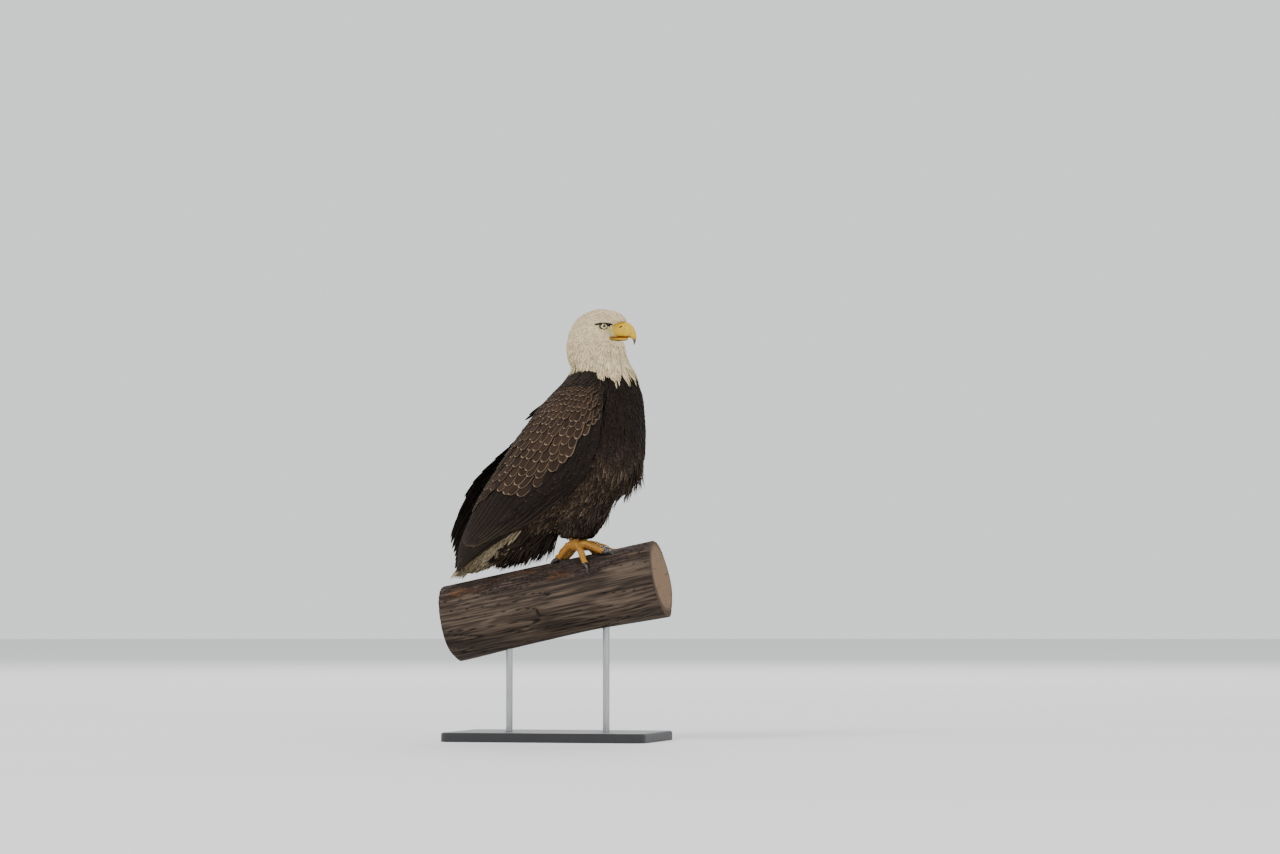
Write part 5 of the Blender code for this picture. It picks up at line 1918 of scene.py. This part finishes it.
# --- Log and stand ---
def log_material(perch):
    """Weathered deadwood: old bark split lengthwise over bare, silvered, cracked wood, with painted shade, near black,
    in the fissures and cracks.
    """
    made, tree = new_material("deadwood_weathered", 0.85, 0.2)
    bark, crevice_shade, _, _ = markings(tree, "relief")
    objects = own_place(tree)
    level = add(tree, "ShaderNodeMapping", {"Vector": objects, "Rotation": (0.0, LOG_SLOPE, 0.0)}).outputs[0]
    grain = noise(tree, level, 1.0, 6.0, stretch=(9.0, 190.0, 190.0))
    broad = noise(tree, level, 1.0, 3.0, stretch=(7.0, 26.0, 26.0))
    speck = noise(tree, objects, 210.0, 5.0)
    wood = layered(
        tree, "2c231d",
        (grain, 0.35, 0.7), perch.wood,
        (broad, 0.52, 0.7, 0.0, 0.75), "1c1512",
        (broad, 0.28, 0.4, 0.4, 0.0), "6f6052",
    )
    rind = layered(
        tree, "211916",
        (speck, 0.3, 0.7), perch.bark,
        (grain, 0.5, 0.72, 0.0, 0.65), "67554a",
        (broad, 0.56, 0.72, 0.0, 0.55), "6a4526",
    )
    # Painted shade: the fissures of the bark and the cracks of the wood are near black.
    colour = layered(tree, wood, bark, rind, crevice_shade, "110c0a")
    height = plus(tree, grain, times(tree, speck, 0.5))
    return dressed(made, colour, height, 0.8, 0.0022)


def end_material():
    """Sawn end grain: dry growth rings, drawn 6 mm apart so that they show, with cracks that run out from the heart,
    dark with painted shade.
    """
    made, tree = new_material("deadwood_sawn", 0.8, 0.2)
    objects = own_place(tree)
    turned_back = add(
        tree, "ShaderNodeVectorMath",
        {0: objects, 1: (0.0, 0.006, LOG_HEIGHT + 0.004)}, operation="SUBTRACT",
    ).outputs[0]
    place = add(tree, "ShaderNodeSeparateXYZ", {"Vector": turned_back}).outputs
    rise = math_node(tree, "SUBTRACT", place[2], times(tree, place[0], math.tan(LOG_SLOPE)))
    squares = [math_node(tree, "POWER", side, 2.0) for side in (place[1], rise)]
    radius = math_node(tree, "SQRT", plus(tree, *squares))
    wobble = noise(tree, objects, 26.0, 3.0)
    rings = math_node(tree, "SINE", plus(tree, times(tree, radius, math.tau / 0.006), times(tree, wobble, 9.0)))
    angle = math_node(tree, "ARCTAN2", place[1], rise)
    swing = plus(tree, times(tree, angle, 3.5), times(tree, wobble, 2.2))
    rays = math_node(tree, "ABSOLUTE", math_node(tree, "SINE", swing))
    # Painted shade: the cracks are dark, as only a bump gives them depth.
    crack = times(tree, ramp(tree, rays, 0.0, 0.07, 1.0, 0.0), ramp(tree, radius, 0.01, 0.05))
    colour = layered(
        tree, "66523e",
        (rings, -1.0, 1.0), "866c53",
        (radius, 0.07, 0.088), "483728",
        crack, "2a1c12",
    )
    return dressed(made, colour, math_node(tree, "SUBTRACT", times(tree, rings, 0.15), crack), 0.6, 0.001)


class EAGLE_OT_log(bpy.types.Operator):
    """Cut length of weathered log under the feet"""

    bl_idname = "eagle.log"
    bl_label = "Log"

    def execute(self, context):
        perch = context.scene.eagle_perch
        share, angle = np.meshgrid(np.linspace(0.0, 1.0, LOG_RINGS), turns(LOG_SIDES), indexing="ij")
        low = 0.5 - 0.5 * np.cos(angle)
        wave = 0.035 * np.sin(3 * angle + 4 * share) + 0.025 * np.sin(5 * angle - 7 * share)
        knot = 0.1 * np.exp(-((angle - 4.4) ** 2) * 5 - (share - 0.8) ** 2 * 60)
        radius = LOG_RADIUS * (1.0 + low * wave + low * knot)
        round_log = np.stack([share * 0.52, np.cos(angle) * 0.09, np.sin(angle) * 0.09], -1)
        signed = (angle + math.pi) % math.tau - math.pi
        ragged = 0.34 * waves(round_log * (1.0, 1.6, 1.6), 0.16, 3) + 0.1 * waves(round_log, 0.035, 4)
        bark = smooth(-0.06, 0.06, 0.95 + ragged - np.abs(signed - 0.05))
        flow = round_log * (0.16, 1.0, 1.0)
        ridge = np.abs(waves(flow, 0.016, 5) + 0.5 * waves(flow * (2.2, 1, 1), 0.008, 6))
        split = 1.0 - smooth(0.02, 0.42, ridge)
        cracks = np.abs(waves(flow * (0.5, 1, 1), 0.03, 8))
        crack = (1.0 - smooth(0.0, 0.055, cracks)) * (1.0 - bark)
        relief = -perch.ridge * split * bark * 0.9
        relief += perch.ridge * 0.3 * waves(flow, 0.02, 9) * bark * (1.0 - np.exp(-(signed**2) / 0.5)) * 0.5
        relief -= (1.0 - bark) * (perch.ridge * 0.95) + crack * 0.0028
        relief += (1.0 - bark) * 0.001 * waves(flow, 0.05, 10)
        radius = radius + relief
        x = LOG_BACK + (LOG_FRONT - LOG_BACK) * share
        centre = np.stack([x, np.zeros_like(x), log_axis(x)], -1)
        high = np.cos(angle)
        spoke = np.stack([-math.sin(LOG_SLOPE) * high, np.sin(angle), math.cos(LOG_SLOPE) * high], -1)
        rings = centre + spoke * radius[..., None]
        heart = (0.985, 0.93, 0.8, 0.6, 0.4, 0.2, 0.04)
        back = [centre[0] + (rings[0] - centre[0]) * size for size in reversed(heart)]
        front = [centre[-1] + (rings[-1] - centre[-1]) * size for size in heart]
        obj = grid_mesh("log", np.concatenate([back, rings, front]))
        mesh = obj.data
        # Painted shade for the fissures and cracks.
        crevice_shade = np.maximum(split * bark * 0.75, crack)
        marks = np.zeros((3, len(mesh.vertices)))
        first = len(heart) * LOG_SIDES
        marks[:, first : first + bark.size] = bark.ravel(), crevice_shade.ravel(), np.ones(bark.size)
        painted(mesh, "relief", marks[0], marks[1], 0.0, marks[2])
        mesh.materials.append(log_material(perch))
        mesh.materials.append(end_material())
        rows = len(heart) * 2 + len(rings) - 1
        row = np.minimum(np.arange(len(mesh.polygons)) // LOG_SIDES, rows + 1)
        is_end = (row < len(heart)) | (row >= len(heart) + len(rings) - 1)
        mesh.polygons.foreach_set("material_index", is_end.astype(np.int32))
        mesh.polygons.foreach_set("use_smooth", ~is_end)
        finished(obj, None, "log_wood", "perch")
        return {"FINISHED"}


def base_material():
    """Powder-coated board: matt black with the faint pebble of the coat, drawn about 2 mm coarse."""
    made, tree = new_material("board_powder_coated", 0.48, 0.4)
    objects = own_place(tree)
    pebble = noise(tree, objects, 420.0, 3.0)
    cloud = noise(tree, objects, 9.0, 3.0)
    colour = layered(tree, "1f1f21", cloud, "2b2b2e", (pebble, 0.55, 0.75, 0.0, 0.3), "3a3a3d")
    return dressed(made, colour, pebble, 0.35, 0.0006)


def rod_material():
    """Stainless steel rod, brushed along its length: fine bright lines."""
    made, tree = new_material("steel_brushed", 0.32, 0.5, metallic=1.0)
    lines = noise(tree, own_place(tree), 1.0, 3.0, stretch=(900.0, 900.0, 30.0))
    colour = mixed(tree, lines, "8d8f92", "c4c6c8")
    tree.links.new(ramp(tree, lines, 0.2, 0.8, 0.24, 0.42), tree.nodes["Principled BSDF"].inputs["Roughness"])
    return dressed(made, colour, lines, 0.2, 0.0003)


class EAGLE_OT_stand(bpy.types.Operator):
    """Finish of the display stand's base and rods"""

    bl_idname = "eagle.stand"
    bl_label = "Stand"

    def execute(self, context):
        steel = rod_material()
        for name, material in (("stand_base", base_material()), ("stand_rod_front", steel), ("stand_rod_back", steel)):
            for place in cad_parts[name].material_slots:
                place.material = material
        return {"FINISHED"}


# --- Stage ---
def floor_material():
    """Seamless paper floor: pale, matt, faintly uneven."""
    made, tree = new_material("paper_seamless", 0.9, 0.2)
    cloud = noise(tree, own_place(tree), 0.7, 2.0)
    return dressed(made, mixed(tree, cloud, "dcdcda", "e4e4e2"))


def area_light(name, place, size, power):
    """Soft square light that faces the bird."""
    data = bpy.data.lights.new(name, "AREA")
    data.shape = "SQUARE"
    data.size = size
    data.energy = power
    obj = linked(name, data)
    obj.location = place
    obj.rotation_euler = (Vector(LIGHT_AIM) - Vector(place)).to_track_quat("-Z", "Y").to_euler()


class EAGLE_OT_stage(bpy.types.Operator):
    """Pale floor, soft lights and camera"""

    bl_idname = "eagle.stage"
    bl_label = "Stage"

    def execute(self, context):
        bm = bmesh.new()
        bmesh.ops.create_circle(bm, cap_ends=True, segments=96, radius=60.0)
        floor = linked_bm("floor", bm)
        floor.data.materials.append(floor_material())
        world = bpy.data.worlds.new("studio")
        world.use_nodes = True
        background = world.node_tree.nodes["Background"]
        background.inputs["Color"].default_value = linear("eef0f2")
        background.inputs["Strength"].default_value = 1.25
        context.scene.world = world
        area_light("key", (-6.6, -12.6, 12.0), 7.0, 2000.0)
        area_light("fill", (12.6, -10.2, 7.0), 9.0, 700.0)
        area_light("back", (-2.4, 12.6, 10.6), 7.0, 1300.0)
        azimuth = math.radians(CAMERA_AZIMUTH)
        rise = math.radians(CAMERA_ELEVATION)
        target = Vector((math.cos(azimuth) * CAMERA_ACROSS, math.sin(azimuth) * CAMERA_ACROSS, CAMERA_HEIGHT))
        away = Vector((math.sin(azimuth) * math.cos(rise), -math.cos(azimuth) * math.cos(rise), math.sin(rise)))
        data = bpy.data.cameras.new("camera")
        data.sensor_width = 36.0
        data.lens = data.sensor_width * CAMERA_DISTANCE / CAMERA_FRAME
        data.clip_end = 200.0
        camera = linked("camera", data)
        camera.location = target + away * CAMERA_DISTANCE
        camera.rotation_euler = (-away).to_track_quat("-Z", "Y").to_euler()
        context.scene.camera = camera
        return {"FINISHED"}


class EAGLE_PT_panel(bpy.types.Panel):
    """Lists every piece of the model"""

    bl_label = "Bald Eagle Model"
    bl_idname = "EAGLE_PT_panel"
    bl_space_type = "VIEW_3D"
    bl_region_type = "UI"
    bl_category = "Eagle"

    def draw(self, context):
        layout = self.layout
        for group in (context.scene.eagle_coat, context.scene.eagle_bare, context.scene.eagle_perch):
            for name in group.bl_rna.properties.keys():
                if name not in ("rna_type", "name"):
                    layout.prop(group, name)
        for operator in OPERATORS:
            layout.operator(operator.bl_idname)


GROUPS = {"eagle_coat": EagleCoat, "eagle_bare": EagleBare, "eagle_perch": EaglePerch}
OPERATORS = (
    EAGLE_OT_skin, EAGLE_OT_small_feathers, EAGLE_OT_wings, EAGLE_OT_tail, EAGLE_OT_eyes, EAGLE_OT_bill,
    EAGLE_OT_claws, EAGLE_OT_scutes, EAGLE_OT_log, EAGLE_OT_stand, EAGLE_OT_stage,
)


def register():
    """Make the settings, operators and panel known."""
    for name, group in GROUPS.items():
        bpy.utils.register_class(group)
        setattr(bpy.types.Scene, name, bpy.props.PointerProperty(type=group))
    for operator in OPERATORS:
        bpy.utils.register_class(operator)
    bpy.utils.register_class(EAGLE_PT_panel)


def unregister():
    """Forget the panel, operators and settings."""
    bpy.utils.unregister_class(EAGLE_PT_panel)
    for operator in reversed(OPERATORS):
        bpy.utils.unregister_class(operator)
    for name, group in GROUPS.items():
        delattr(bpy.types.Scene, name)
        bpy.utils.unregister_class(group)


def main():
    """Build every piece."""
    register()
    for operator in OPERATORS:
        getattr(bpy.ops.eagle, operator.bl_idname.split(".")[1])()


if __name__ == "__main__":
    main()
